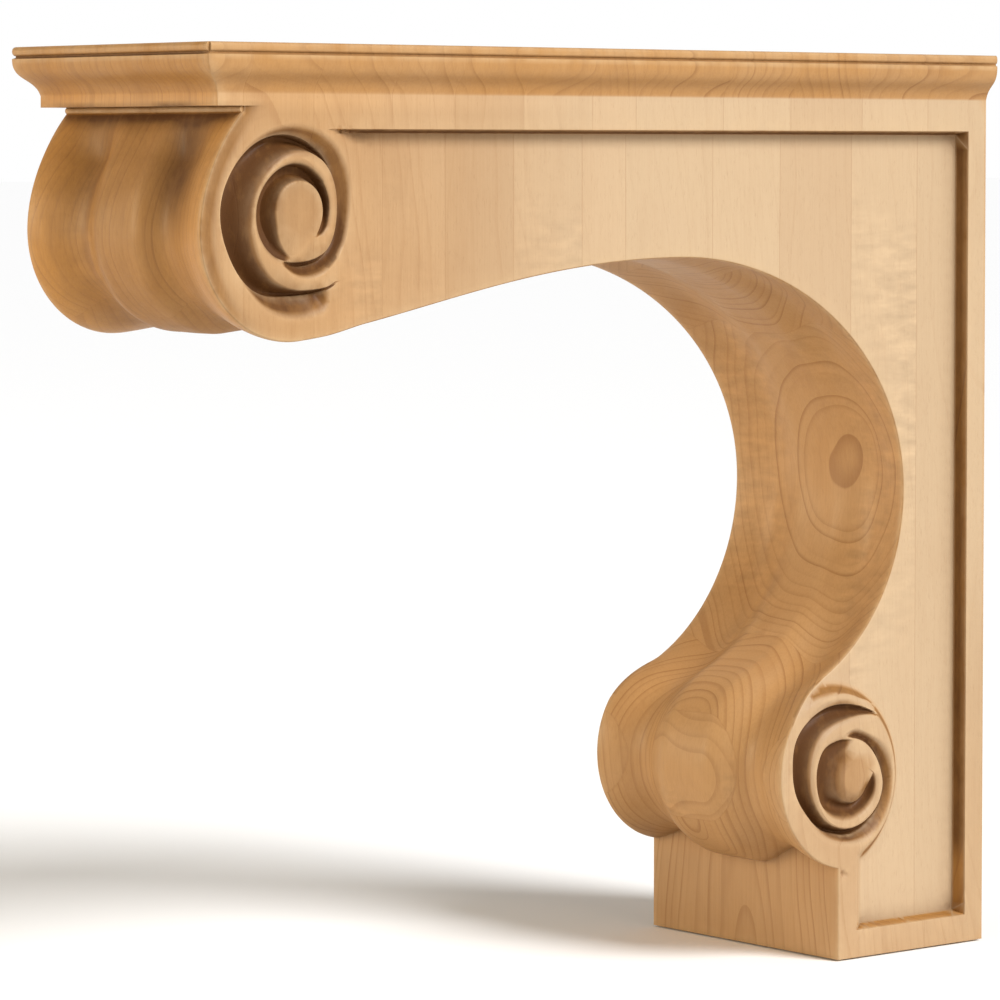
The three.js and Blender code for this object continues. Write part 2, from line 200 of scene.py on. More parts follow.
class Sweep:
    """A curve that leaves one point along one direction and reaches another along another."""

    def __init__(self, start, first, last, end):
        self.points = [np.array(point) for point in (start, first, last, end)]

    @classmethod
    def between(cls, start, leaving, end, reaching, first_reach, last_reach):
        span = np.linalg.norm(end - start)
        return cls(start, start + leaving * span * first_reach, end - reaching * span * last_reach, end)

    def at(self, t):
        a, b, c, d = self.points
        t = t[:, None]
        s = 1 - t
        place = s**3 * a + 3 * s**2 * t * b + 3 * s * t**2 * c + t**3 * d
        way = 3 * s**2 * (b - a) + 6 * s * t * (c - b) + 3 * t**2 * (d - c)
        return place, way


class Arc:
    """A stretch of an ellipse, by its centre, half axes and the angles of its ends in degrees."""

    def __init__(self, centre, half_axes, first, last):
        self.centre, self.half_axes = centre, half_axes
        self.first, self.last = math.radians(first), math.radians(last)

    def at(self, t):
        turn = mix(self.first, self.last, t)
        u, v = self.half_axes
        place = np.stack([self.centre[0] + u * np.cos(turn), self.centre[1] + v * np.sin(turn)], -1)
        way = np.stack([-u * np.sin(turn), v * np.cos(turn)], -1) * np.sign(self.last - self.first)
        return place, way


class Form:
    """The corbel's form, worked out from the sizes. Side views use (y, z) pairs.

    The angles are places round the scrolls in degrees, and the eyes and the raised ground are given
    from the centre of their scroll. A flank is the share of a groove's width over which it sinks."""

    FRONT_ANGLE, UNDER_ANGLE, LOWER_TOP_ANGLE = 178, 276, 114
    NECK_WAY = (-0.68, -0.73)
    FRONT_EYE, LOWER_EYE, LOWER_GROUND = (0.0065, 0.0115), (0.003, -0.0038), (-0.014, -0.004)
    FRONT_FLANK, LOWER_FLANK = 0.55, 0.8

    def __init__(self, block, scroll, hollow, field, volute):
        self.block, self.scroll, self.hollow, self.field = block, scroll, hollow, field
        self.front = FRAME_LOW.y
        self.top, self.bottom = FRAME_HIGH.z, FRAME_LOW.z
        self.half = (FRAME_HIGH.x - FRAME_LOW.x) / 2 - block.cap_projection
        self.soffit = self.top - block.cap_height
        self.ogee_foot = self.soffit + block.cap_fillet
        self.foot_front = self.front + block.cap_front
        self.neck = self.front + block.cap_projection + block.neck_setback
        front_centre = self.front + scroll.front_setback + scroll.front_radius
        self.front_scroll = np.array([front_centre, self.top - scroll.front_drop])
        self.lower_scroll = np.array([-scroll.lower_from_wall, self.bottom + scroll.lower_lift])
        self.lower_ground = self.lower_scroll + self.LOWER_GROUND
        self.field_start = self.front + field.start
        self.stile_edge = block.plinth_stile - block.plinth_depth
        self.volutes = [
            Volute(self.front_scroll + self.FRONT_EYE, 1, FRONT_INNER, FRONT_OUTER,
                   volute.front_dome, self.FRONT_FLANK, volute),
            Volute(self.lower_scroll + self.LOWER_EYE, -1, LOWER_INNER, LOWER_OUTER,
                   volute.lower_dome, self.LOWER_FLANK, volute),
        ]
        self.stretches = self.underside()
        self.cheek_rows = self.stretches[0][1] + self.stretches[1][1]

    def underside(self):
        """The rim line from the neck to the lower scroll. Each stretch has its curve, its count of
        rows, at its start and at its end the valleys' depth, the bulge's depth and the valleys'
        place, its share of the cheek at both, and the part of its length over which these change."""
        scroll, hollow = self.scroll, self.hollow
        neck = np.array([self.neck, self.soffit - self.block.neck_bead_radius])
        radius = scroll.front_radius
        scroll_front = on_circle(self.front_scroll, radius, math.radians(self.FRONT_ANGLE))
        scroll_under = on_circle(self.front_scroll, radius, math.radians(self.UNDER_ANGLE))
        lower_angle = math.radians(self.LOWER_TOP_ANGLE)
        lower_top = on_circle(self.lower_scroll, scroll.lower_radius, lower_angle)
        arm_thin = np.array([-scroll.arm_thin, self.top - scroll.arm_thickness])
        leg_thin = np.array([-scroll.leg_thickness, self.top - scroll.leg_thin])
        neck_way = np.array(self.NECK_WAY)
        level, down = np.array([1.0, 0.0]), np.array([0.0, -1.0])
        over_scroll = (hollow.front_valley, hollow.front_bulge, hollow.front_place)
        over_curve = (hollow.curve_valley, 0.0, hollow.valley_place)
        over_lower = (hollow.scroll_valley, -hollow.lower_bulge, hollow.valley_place)
        return [
            (Sweep.between(neck, neck_way, scroll_front, way_round(self.FRONT_ANGLE), 0.33, 0.33),
             44, (0.0, 0.0, hollow.front_place), over_scroll, (0.6, 1.0), 0.42),
            (Arc(self.front_scroll, (radius, radius), self.FRONT_ANGLE, self.UNDER_ANGLE),
             56, over_scroll, over_scroll, (1.0, 0.0), 1),
            (Sweep.between(scroll_under, way_round(self.UNDER_ANGLE), arm_thin, level, 0.3, 0.42),
             84, over_scroll, over_curve, (0.0, 0.0), 1),
            (Arc((arm_thin[0], leg_thin[1]),
                 (leg_thin[0] - arm_thin[0], arm_thin[1] - leg_thin[1]), 90, 0),
             96, over_curve, over_curve, (0.0, 0.0), 1),
            (Sweep.between(leg_thin, down, lower_top, way_round(self.LOWER_TOP_ANGLE), 0.36, 0.36),
             50, over_curve, over_lower, (0.0, 0.0), 1),
        ]

    def rim_rows(self):
        """Points of the rim line and, at each, the way inwards, the depths and place of the valleys and
        the cheek's share."""
        places, inwards, hollows, cheeks = [], [], [], []
        for curve, rows, first, last, cheek, pace in self.stretches:
            t = np.arange(rows) / rows
            place, way = curve.at(t)
            way = way / np.linalg.norm(way, axis=1, keepdims=True)
            share = smooth(t / pace)
            places.append(place)
            inwards.append(np.stack([-way[:, 1], way[:, 0]], -1))
            hollows.append(np.stack([mix(a, b, share) for a, b in zip(first, last)], -1))
            cheeks.append(mix(cheek[0], cheek[1], share))
        return [np.concatenate(parts) for parts in (places, inwards, hollows, cheeks)]

    def sink(self, across, half, along, valley, bulge, deep):
        """How far the hollowed front lies in from the rims. along is the length along the rim line."""
        place = np.abs(across) / half
        edge = self.hollow.bulge_edge
        inner = mix(bulge, valley, smooth((place - edge) / (deep - edge)))
        outer = valley * smooth((1 - place) / (1 - deep))
        waves = np.sin(150 * across + 60 * along + 0.7) * np.sin(170 * along - 40 * across)
        waves = waves + 0.7 * np.sin(95 * across - 120 * along + 2.1)
        waves = waves * self.hollow.tool_marks * smooth((1 - place) / 0.3) * smooth(along / 0.03)
        return np.where(place > deep, outer, inner) + waves

    def field_depth(self, y, z):
        """Depth of the recessed field."""
        field = self.field
        top = self.ogee_foot - field.rail - z
        back = -field.stile - y
        low = z - (self.bottom + field.plinth_rail)
        walls = np.minimum(np.minimum(top, back), low)
        stile = np.where(z < self.lower_scroll[1], (y - self.stile_edge) / field.stile_ramp, 1.0)
        ground = np.hypot(y - self.lower_ground[0], z - self.lower_ground[1])
        rise = np.clip((ground - field.ground_radius) / field.ground_fade, 0, 1)
        start = np.clip((y - self.field_start) / field.fade, 0, 1)
        soft = np.minimum(mix(rise, smooth(rise), 0.5), mix(start, smooth(start), 0.5))
        soft = np.minimum(soft, smooth(stile))
        return field.recess * np.minimum(soft, smooth(walls / field.wall_run))

    def cheek_depth(self, y, z):
        """Depth of the bevelled cheek beside the neck and the front scroll."""
        places, _, _, cheeks = self.rim_rows()
        near = np.full(y.shape, np.inf)
        share = np.zeros(y.shape)
        for (py, pz), own in zip(places[:self.cheek_rows], cheeks):
            distance = np.hypot(y - py, z - pz)
            closer = distance < near
            near = np.where(closer, distance, near)
            share = np.where(closer, own, share)
        fall = np.clip(1 - near / self.hollow.cheek_width, 0, 1)
        return self.hollow.cheek_depth * share * mix(fall, smooth(fall), 0.25)

    def side_depth(self, y, z):
        """How far the side lies in from its outer level."""
        depth = np.maximum(self.field_depth(y, z), self.cheek_depth(y, z))
        for volute in self.volutes:
            depth = depth + volute.depth(y, z)
        return depth + nick_depth(y, z)


# The inner turn of a groove: angle, then the radii of its soft inner edge, its crease and its steep
# outer edge, and its depth, all in mm. Angles run on from one turn to the next.
FRONT_INNER = (
    (-58, 16.9, 17.1, 17.3, 0.0),
    (-28, 15.0, 18.3, 19.6, 3.5),
    (0, 14.5, 18.6, 19.8, 6.0),
    (40, 14.5, 19.4, 20.8, 7.5),
    (92, 14.5, 22.3, 23.7, 7.8),
    (139, 14.5, 23.6, 25.1, 8.2),
    (180, 14.5, 25.8, 27.3, 8.2),
    (210, 16.0, 27.2, 28.7, 7.2),
    (234, 20.5, 27.4, 28.8, 4.5),
    (258, 25.0, 26.8, 27.6, 0.0),
)
LOWER_INNER = (
    (-12, 13.0, 13.2, 13.4, 0.0),
    (10, 11.8, 14.5, 16.8, 3.5),
    (30, 11.6, 15.5, 18.6, 6.0),
    (60, 12.6, 15.6, 20.8, 7.0),
    (90, 13.8, 16.8, 23.6, 7.0),
    (112, 14.2, 17.8, 26.0, 7.5),
    (135, 14.4, 21.5, 28.8, 8.0),
    (155, 14.4, 27.3, 29.7, 8.0),
    (175, 14.4, 28.6, 30.0, 8.0),
    (199, 14.4, 29.3, 30.7, 8.0),
    (217, 14.8, 28.8, 30.3, 7.0),
    (233, 15.5, 25.6, 27.2, 5.5),
    (250, 17.5, 22.9, 24.3, 3.0),
    (266, 20.3, 21.1, 21.8, 0.0),
)

# The outer turn: angle, then the radii of its inner edge, its crease, the top of its steep wall and
# its soft outer edge, its depth, and the share of that depth left at the top of the wall.
FRONT_OUTER = (
    (244, 28.0, 28.7, 29.2, 30.2, 0.0, 0.90),
    (269, 26.6, 28.4, 29.5, 35.1, 5.0, 0.85),
    (315, 27.2, 29.4, 31.0, 35.8, 6.5, 0.85),
    (358, 26.1, 28.8, 30.5, 37.0, 6.5, 0.85),
    (389, 27.5, 30.2, 32.0, 41.0, 6.5, 0.88),
    (410, 28.7, 31.5, 33.0, 42.0, 7.0, 0.80),
    (429, 29.5, 32.8, 34.1, 42.7, 8.0, 0.58),
    (447, 30.0, 35.2, 36.7, 44.0, 9.0, 0.34),
    (465, 29.6, 38.4, 40.0, 45.2, 9.5, 0.22),
    (488, 28.4, 42.3, 43.9, 46.6, 10.0, 0.10),
    (513, 28.6, 46.0, 47.5, 48.5, 10.5, 0.03),
    (540, 30.4, 49.4, 50.9, 51.4, 10.5, 0.00),
    (565, 33.6, 49.6, 51.1, 51.6, 10.5, 0.00),
    (589, 37.6, 49.4, 50.9, 53.0, 10.0, 0.10),
    (603, 39.6, 47.3, 48.8, 55.5, 9.0, 0.35),
    (625, 40.8, 43.6, 44.6, 56.8, 7.5, 0.75),
    (640, 41.5, 43.4, 44.3, 55.8, 6.5, 0.80),
    (649, 42.6, 44.0, 44.8, 54.2, 5.5, 0.80),
    (653, 43.0, 44.2, 45.0, 51.0, 2.0, 0.50),
    (657, 43.4, 44.4, 45.2, 46.8, 1.5, 0.30),
    (666, 43.9, 44.6, 45.1, 45.8, 0.0, 0.30),
)
LOWER_OUTER = (
    (248, 25.2, 25.8, 26.2, 27.2, 0.0, 0.90),
    (264, 22.8, 24.2, 25.2, 28.4, 2.5, 0.85),
    (290, 20.7, 22.5, 23.4, 26.5, 3.5, 0.85),
    (318, 19.4, 21.4, 22.5, 28.2, 4.5, 0.85),
    (348, 19.9, 22.2, 23.5, 31.0, 5.5, 0.85),
    (375, 22.2, 25.0, 26.5, 34.0, 6.0, 0.85),
    (400, 24.0, 27.2, 28.5, 38.0, 6.0, 0.80),
    (429, 25.9, 29.0, 30.2, 38.5, 6.5, 0.70),
    (460, 28.7, 32.2, 33.4, 39.3, 7.0, 0.50),
    (475, 30.2, 33.4, 34.6, 41.0, 7.5, 0.40),
    (493, 31.8, 36.8, 38.1, 42.8, 8.0, 0.25),
    (516, 32.6, 41.1, 42.6, 44.8, 9.0, 0.10),
    (534, 33.2, 46.2, 47.7, 48.4, 9.5, 0.02),
    (550, 34.2, 49.1, 50.6, 51.1, 9.5, 0.00),
    (569, 35.4, 51.8, 53.3, 53.8, 9.5, 0.00),
    (585, 35.6, 49.3, 50.8, 52.2, 9.0, 0.08),
    (602, 34.3, 45.6, 47.1, 51.8, 8.5, 0.20),
    (619, 33.5, 42.2, 43.5, 49.2, 7.5, 0.30),
    (637, 35.0, 39.8, 40.9, 44.9, 5.5, 0.30),
    (650, 36.8, 39.0, 39.8, 44.0, 2.5, 0.30),
    (658, 38.4, 39.2, 39.6, 42.5, 0.0, 0.30),
)


# Small chips and chisel marks on the sides: y, z, radius and depth in mm
NICKS = (
    (-470.2, 213.4, 1.9, 0.5),
    (-467.4, 211.8, 1.7, 0.6),
    (-463.6, 213.2, 2.0, 0.5),
    (-112.6, -207.4, 3.4, 1.8),
    (-109.6, -208.6, 2.6, 0.9),
    (-100.2, -240.2, 2.0, 0.6),
    (-96.0, -241.0, 1.6, 0.5),
    (-84.5, -241.0, 1.7, 0.4),
    (-61.0, -240.8, 1.6, 0.4),
)


def nick_depth(y, z):
    """Depth of the chips and chisel marks."""
    depth = np.zeros(y.shape)
    for at_y, at_z, radius, deep in NICKS:
        away = np.hypot(y - at_y * MM, (z - at_z * MM) * 1.25) / (radius * MM)
        depth = depth + deep * MM * np.clip(1 - away**2, 0, 1) ** 1.5
    return depth


def through(table, at):
    """Values read off a table at given angles, along smooth curves through its rows."""
    table = np.array(table)
    angles, values = table[:, 0], table[:, 1:]
    slopes = np.gradient(values, angles, axis=0)
    at = np.clip(at, angles[0], angles[-1])
    index = np.clip(np.searchsorted(angles, at) - 1, 0, len(angles) - 2)
    step = angles[index + 1] - angles[index]
    t = ((at - angles[index]) / step)[..., None]
    step = step[..., None]
    found = (
        values[index] * (2 * t**3 - 3 * t**2 + 1)
        + slopes[index] * step * (t**3 - 2 * t**2 + t)
        + values[index + 1] * (3 * t**2 - 2 * t**3)
        + slopes[index + 1] * step * (t**3 - t**2)
    )
    return np.moveaxis(found, -1, 0)


class Volute:
    """A spiral groove of two turns round a plain eye. turn is 1 where it winds anticlockwise outwards
    on the +X side and -1 where it winds clockwise."""

    def __init__(self, eye, turn, inner, outer, dome, flank, sizes):
        self.eye, self.turn, self.inner, self.outer = eye, turn, inner, outer
        self.dome, self.flank, self.deep = dome, flank, sizes.depth_share
        self.roll, self.roll_drop = sizes.roll, sizes.roll_drop
        self.bare_eye = min(row[1] for row in inner) * MM

    def inner_turn(self, along):
        soft, crease, edge, full = through(self.inner, along) * MM
        return soft, np.maximum(crease, soft), np.maximum(edge, crease), np.maximum(full, 0) * self.deep

    def outer_turn(self, along):
        inner, crease, brow, edge, full, left = through(self.outer, along)
        full = np.maximum(full, 0) * MM * self.deep
        return inner * MM, crease * MM, brow * MM, edge * MM, full, np.clip(left, 0, 1)

    def depth(self, y, z):
        """Depth of the groove and of the eye's rounding."""
        found = np.zeros(y.shape)
        radius = np.hypot(y - self.eye[0], z - self.eye[1])
        first = np.degrees(np.arctan2(self.turn * (z - self.eye[1]), y - self.eye[0]))
        for lap in (-360, 0, 360):
            along = first + lap
            soft, crease, edge, full = self.inner_turn(along)
            rim = np.minimum(self.dome, full * 0.5)
            drop = np.minimum(self.roll_drop, full * 0.3)
            here = (along > self.inner[0][0]) & (along < self.inner[-1][0])
            eye = rim * np.clip(radius / soft, 0, 1) ** 2
            ramp = mix(rim, full, smooth((radius - soft) / (crease - soft + 1e-9) / self.flank))
            wall = mix(drop, full, smooth((edge - radius) / (edge - crease + 1e-9)))
            roll = drop * np.clip(1 - (radius - edge) / self.roll, 0, 1) ** 2
            cut = np.where(radius < soft, eye, np.where(radius < crease, ramp, wall))
            found = np.maximum(found, np.where(here, np.where(radius < edge, cut, roll), 0))
        for lap in (0, 360, 720):
            along = first + lap
            inner, crease, brow, edge, full, left = self.outer_turn(along)
            here = (along > self.outer[0][0]) & (along < self.outer[-1][0])
            drop = np.minimum(self.roll_drop / np.maximum(full, 1e-9), 0.3)
            near = mix(drop, 1, smooth((radius - inner) / (crease - inner) / 0.8) ** 0.85)
            roll = drop * np.clip(1 - (inner - radius) / self.roll, 0, 1) ** 2
            steep = mix(1, left, smooth((radius - crease) / (brow - crease)))
            slope = (edge - radius) / (edge - brow)
            soft = left * mix(slope, smooth(slope), 0.5)
            cut = np.where(radius < crease, near, np.where(radius < brow, steep, soft))
            cut = np.where(radius < inner, roll, cut)
            found = np.maximum(found, np.where(here & (radius < edge), full * cut, 0))
        return found

    def line(self, turn_of, alongs, shares):
        """One line along a turn, at given shares between its radii. Shares are (index, part)."""
        index, part = shares
        places = []
        for along in alongs:
            parts = [float(value) for value in turn_of(np.array(float(along)))]
            full = parts[3] if turn_of == self.inner_turn else parts[4]
            radius = mix(parts[index], parts[index + 1], part)
            way = math.radians(along)
            places.append((self.eye[0] + radius * math.cos(way),
                           self.eye[1] + self.turn * radius * math.sin(way), full))
        return places

    def lines(self):
        """Lines along the groove that the mesh keeps as edges, and lines of points between them."""
        kept, loose = [], []
        alongs = np.arange(self.inner[0][0] + 1, self.inner[-1][0], 3.0)
        for shares in ((0, 0), (1, 0), (1, 1)):
            kept.append(self.line(self.inner_turn, alongs, shares))
        for index, parts in (
            (0, (0.12, 0.25, 0.38, 0.5, 0.65, 0.82)), (1, (0.2, 0.4, 0.6, 0.8, 1.5, 2.2, 3.2))
        ):
            loose += [self.line(self.inner_turn, alongs, (index, part)) for part in parts]
        alongs = np.arange(self.outer[0][0] + 1, self.outer[-1][0], 2.5)
        kept.append(self.line(self.outer_turn, alongs[14:], (0, 0)))
        for shares in ((1, 0), (2, 0), (2, 1)):
            kept.append(self.line(self.outer_turn, alongs, shares))
        for index, parts in (
            (0, (-0.16, -0.06, 0.05, 0.12, 0.2, 0.32, 0.45, 0.6, 0.75, 0.88)),
            (1, (0.2, 0.4, 0.6, 0.8)),
            (2, (0.2, 0.4, 0.6, 0.8, 1.15)),
        ):
            loose += [self.line(self.outer_turn, alongs, (index, part)) for part in parts]
        kept = [[(y, z) for y, z, full in line if full > 0.4 * MM] for line in kept]
        loose = [[(y, z) for y, z, full in line if full > 0.2 * MM] for line in loose]
        for share in (0.25, 0.5, 0.7, 0.88):
            turns = np.radians(np.arange(0, 360, 15))
            loose.append(on_circle(self.eye, share * self.bare_eye, turns))
        return kept, loose


class BodyMesh:
    """Builds the closed mesh of the body: the hollowed front as a grid of rows, and the sides on
    points that lie close together where the carving is fine."""

    MAIN_COLUMNS, ROUND_COLUMNS = 62, 4
    LOWER_ROWS, PLINTH_ROWS = 84, 16
    WIDE_SPACING = 0.009

    def __init__(self, form):
        self.form = form
        self.vertices, self.faces = [], []

    def columns(self):
        """For each column its share across the flat part, and its angle round the arris."""
        shares = [2 * i / self.MAIN_COLUMNS - 1 for i in range(self.MAIN_COLUMNS + 1)]
        turns = [0.0] * len(shares)
        for i in range(1, self.ROUND_COLUMNS + 1):
            turn = math.pi / 2 * i / self.ROUND_COLUMNS
            shares, turns = [-1.0] + shares + [1.0], [turn] + turns + [turn]
        return np.array(shares), np.array(turns)

    def front_grid(self):
        form = self.form
        arris = form.block.arris
        shares, turns = self.columns()
        inset = arris * (1 - np.cos(turns))

        def spread(half):
            return shares * (half[:, None] - arris) + np.sign(shares) * arris * np.sin(turns)

        places, inwards, hollows, _ = form.rim_rows()
        along = np.cumsum(np.hypot(*(places - np.roll(places, 1, axis=0)).T))[:, None]
        along = along - along[0]
        edge = places + inwards * arris
        half = form.half - form.side_depth(edge[:, 0], edge[:, 1])
        x = spread(half)
        depth = form.sink(x, half[:, None], along, *hollows.T[:, :, None]) + inset
        y = places[:, 0, None] + inwards[:, 0, None] * depth
        z = places[:, 1, None] + inwards[:, 1, None] * depth
        top = np.stack([x[0], np.full(len(shares), form.neck) + inset,
                        np.full(len(shares), form.soffit + form.block.cap_fillet / 2)], -1)
        rows = [top[None], np.stack([x, y, z], -1)]

        centre, radius = form.lower_scroll, form.scroll.lower_radius
        first = math.radians(form.LOWER_TOP_ANGLE)
        plain = 2 * math.pi - math.acos((-form.block.plinth_depth - centre[0]) / radius)
        t = np.arange(self.LOWER_ROWS + 1) / self.LOWER_ROWS
        rim = on_circle(centre, radius - arris, mix(first, plain, t))
        half = form.half - form.side_depth(rim[:, 0], rim[:, 1])
        x = spread(half)
        along = along[-1] + (mix(first, plain, t) - first)[:, None] * radius
        depth = form.sink(x, half[:, None], along, *form.stretches[-1][3]) + inset
        plinth = -form.block.plinth_depth + inset
        last = 2 * math.pi - np.arccos((plinth - centre[0]) / (radius - depth[-1]))
        turn = mix(first, last[None, :], t[:, None])
        y = centre[0] + (radius - depth) * np.cos(turn)
        z = centre[1] + (radius - depth) * np.sin(turn)
        rows.append(np.stack([x, y, z], -1))

        t = np.arange(1, self.PLINTH_ROWS + 1)[:, None] / self.PLINTH_ROWS
        z = mix(z[-1][None], form.bottom, t)
        x = np.repeat(x[-1][None], self.PLINTH_ROWS, 0)
        y = np.repeat(plinth[None], self.PLINTH_ROWS, 0)
        rows.append(np.stack([x, y, z], -1))
        return np.concatenate(rows)

    def side_lines(self):
        """Lines on the side that the mesh keeps as edges, and groups of places between them."""
        form, field = self.form, self.form.field
        top = form.ogee_foot - field.rail
        low = form.bottom + field.plinth_rail
        run = field.wall_run
        kept, groups = [], []
        for volute in form.volutes:
            own, loose = volute.lines()
            kept += own
            groups += loose
        for at_y, at_z, radius, _ in NICKS:
            for share, turns in ((0.0, 1), (0.35, 6), (0.7, 9), (1.0, 12)):
                turn = np.arange(turns) / turns * 2 * math.pi + share
                groups.append(on_circle((at_y * MM, at_z * MM), share * radius * MM, turn))
        along_y = np.arange(form.field_start - 0.004, -field.stile - 3 * run, 0.004)
        low_y = np.arange(form.stile_edge + 0.002, -field.stile - 3 * run, 0.004)
        along_z = np.arange(low + 3 * run, top - 3 * run, 0.004)
        for share in (-0.4, 0.0, 0.25, 0.5, 0.75, 1.0, 1.6, 2.6):
            inset = share * run
            back = -field.stile - inset
            strips = (
                [(y, top - inset) for y in along_y] + [(back, top - inset)],
                [(y, low + inset) for y in low_y] + [(back, low + inset)],
                [(back, low + inset)] + [(back, z) for z in along_z] + [(back, top - inset)],
            )
            if share in (0.0, 1.0):
                kept += strips
            else:
                groups += strips
        for share in np.linspace(0, 1, 6):
            z = np.arange(low, form.lower_scroll[1] - 0.03, 0.005)
            ramp = np.full(z.shape, form.stile_edge + share * field.stile_ramp)
            groups.append(np.stack([ramp, z], -1))
            turn = np.radians(np.arange(-80, 200, 3.0))
            radius = field.ground_radius + share * field.ground_fade
            groups.append(on_circle(form.lower_ground, radius, turn))
            z = np.arange(0.06, top, 0.005)
            start = np.full(z.shape, form.field_start + share * field.fade)
            groups.append(np.stack([start, z], -1))
        places, inwards, _, _ = form.rim_rows()
        near = form.cheek_rows + 16
        width = form.hollow.cheek_width
        for inset in (0.25, 0.5, 0.75, 0.9, 1.0, 1.1):
            groups.append((places + inwards * inset * width)[:near:2])
        groups.append((places + inwards * 0.004)[near::2])
        y, z = np.meshgrid(
            np.arange(form.front, 0, self.WIDE_SPACING), np.arange(form.bottom, form.top, self.WIDE_SPACING)
        )
        groups.append(np.stack([y.ravel(), z.ravel()], -1))
        return kept, groups

    def side_places(self, ring):
        """Places on the side that need a vertex, and pairs of them that need an edge."""
        kept, groups = self.side_lines()
        places, pairs = [], []
        taken, taken_wide = set(), set()
        cell, wide = 0.00025, 0.0036

        def take(y, z):
            taken.add((round(y / cell), round(z / cell)))
            taken_wide.add((round(y / wide), round(z / wide)))
            places.append((float(y), float(z)))

        for line in kept:
            if not line:
                continue
            line = np.array(line)
            clear = inside_ring(line, ring, 0.0012)
            before = None
            for (y, z), inside in zip(line, clear):
                if not inside:
                    before = None
                    continue
                take(y, z)
                if before is not None:
                    pairs.append((before, len(places) - 1))
                before = len(places) - 1
        for index, group in enumerate(groups):
            plain = index == len(groups) - 1
            group = np.array(group).reshape(-1, 2)
            clear = inside_ring(group, ring, 0.002 if plain else 0.0012)
            for y, z in group[clear]:
                if (round(y / cell), round(z / cell)) in taken:
                    continue
                if plain and (round(y / wide), round(z / wide)) in taken_wide:
                    continue
                take(y, z)
        return places, pairs

    def build(self):
        form = self.form
        grid = self.front_grid()
        rows, columns = grid.shape[:2]
        self.vertices = [tuple(point) for point in grid.reshape(-1, 3)]
        for row in range(rows - 1):
            for column in range(columns - 1):
                a = row * columns + column
                self.faces.append((a, a + 1, a + columns + 1, a + columns))
        right = [row * columns + columns - 1 for row in range(rows)]
        left = [row * columns for row in range(rows)]

        cap_inside = grid[0, 0, 2]
        plinth = grid[-1, -1]
        extra = []
        extra += [(y, form.bottom) for y in np.linspace(plinth[1], 0, 15)[1:-1]]
        extra += [(0.0, z) for z in np.linspace(form.bottom, cap_inside, 52)]
        extra += [(y, cap_inside) for y in np.linspace(0, grid[0, -1, 1], 56)[1:-1]]
        right_extra, left_extra = [], []
        for y, z in extra:
            right_extra.append(self.add((form.half, y, z)))
            left_extra.append(self.add((-form.half, y, z)))
        ring_right, ring_left = right + right_extra, left + left_extra
        ring = np.array([self.vertices[index][1:] for index in ring_right])
        places, pairs = self.side_places(ring)
        flat = [Vector(point) for point in ring] + [Vector(point) for point in places]
        count = len(ring)
        edges = [(i, (i + 1) % count) for i in range(count)]
        edges += [(a + count, b + count) for a, b in pairs]
        spots, _, triangles, origins, _, _ = delaunay_2d_cdt(flat, edges, [], 1, 1e-6)
        y, z = np.array([tuple(spot) for spot in spots]).T
        depth = form.side_depth(y, z)
        right_all, left_all = [], []
        for own_y, own_z, own_depth, origin in zip(y, z, depth, origins):
            on_ring = [index for index in origin if index < count]
            if on_ring:
                right_all.append(ring_right[on_ring[0]])
                left_all.append(ring_left[on_ring[0]])
            else:
                right_all.append(self.add((form.half - own_depth, own_y, own_z)))
                left_all.append(self.add((own_depth - form.half, own_y, own_z)))
        for triangle in triangles:
            self.faces.append(tuple(right_all[corner] for corner in triangle))
            self.faces.append(tuple(left_all[corner] for corner in reversed(triangle)))

        bottom_row = [(rows - 1) * columns + column for column in range(columns)]
        self.faces.append(tuple(bottom_row + [right_extra[0], left_extra[0]]))
        for i in range(len(extra) - 1):
            self.faces.append((right_extra[i], right_extra[i + 1], left_extra[i + 1], left_extra[i]))
        self.faces.append(tuple(list(range(columns - 1, -1, -1)) + [left_extra[-1], right_extra[-1]]))
        return mesh_from(self.vertices, self.faces, "body")

    def add(self, point):
        self.vertices.append(tuple(float(value) for value in point))
        return len(self.vertices) - 1


def inside_ring(points, ring, clearance):
    """True for each point that lies inside the outline and at least clearance away from it."""
    inside = np.zeros(len(points), bool)
    distance = np.full(len(points), np.inf)
    y, z = points[:, 0], points[:, 1]
    for (ay, az), (by, bz) in zip(ring, np.roll(ring, -1, axis=0)):
        crosses = (az > z) != (bz > z)
        if az != bz:
            inside ^= crosses & (y < (by - ay) * (z - az) / (bz - az) + ay)
        span = (by - ay) ** 2 + (bz - az) ** 2
        share = np.clip(((y - ay) * (by - ay) + (z - az) * (bz - az)) / span, 0, 1)
        away = np.hypot(y - ay - share * (by - ay), z - az - share * (bz - az))
        distance = np.minimum(distance, away)
    return inside & (distance > clearance)


def mesh_from(vertices, faces, name):
    """A named mesh from its vertices and faces."""
    mesh = bpy.data.meshes.new(name)
    mesh.from_pydata(vertices, [], faces)
    mesh.validate()
    mesh.update()
    return mesh


def outward(mesh):
    """Turns all faces outwards."""
    work = bmesh.new()
    work.from_mesh(mesh)
    bmesh.ops.remove_doubles(work, verts=work.verts, dist=1e-7)
    bmesh.ops.recalc_face_normals(work, faces=work.faces)
    work.to_mesh(mesh)
    work.free()
    return mesh


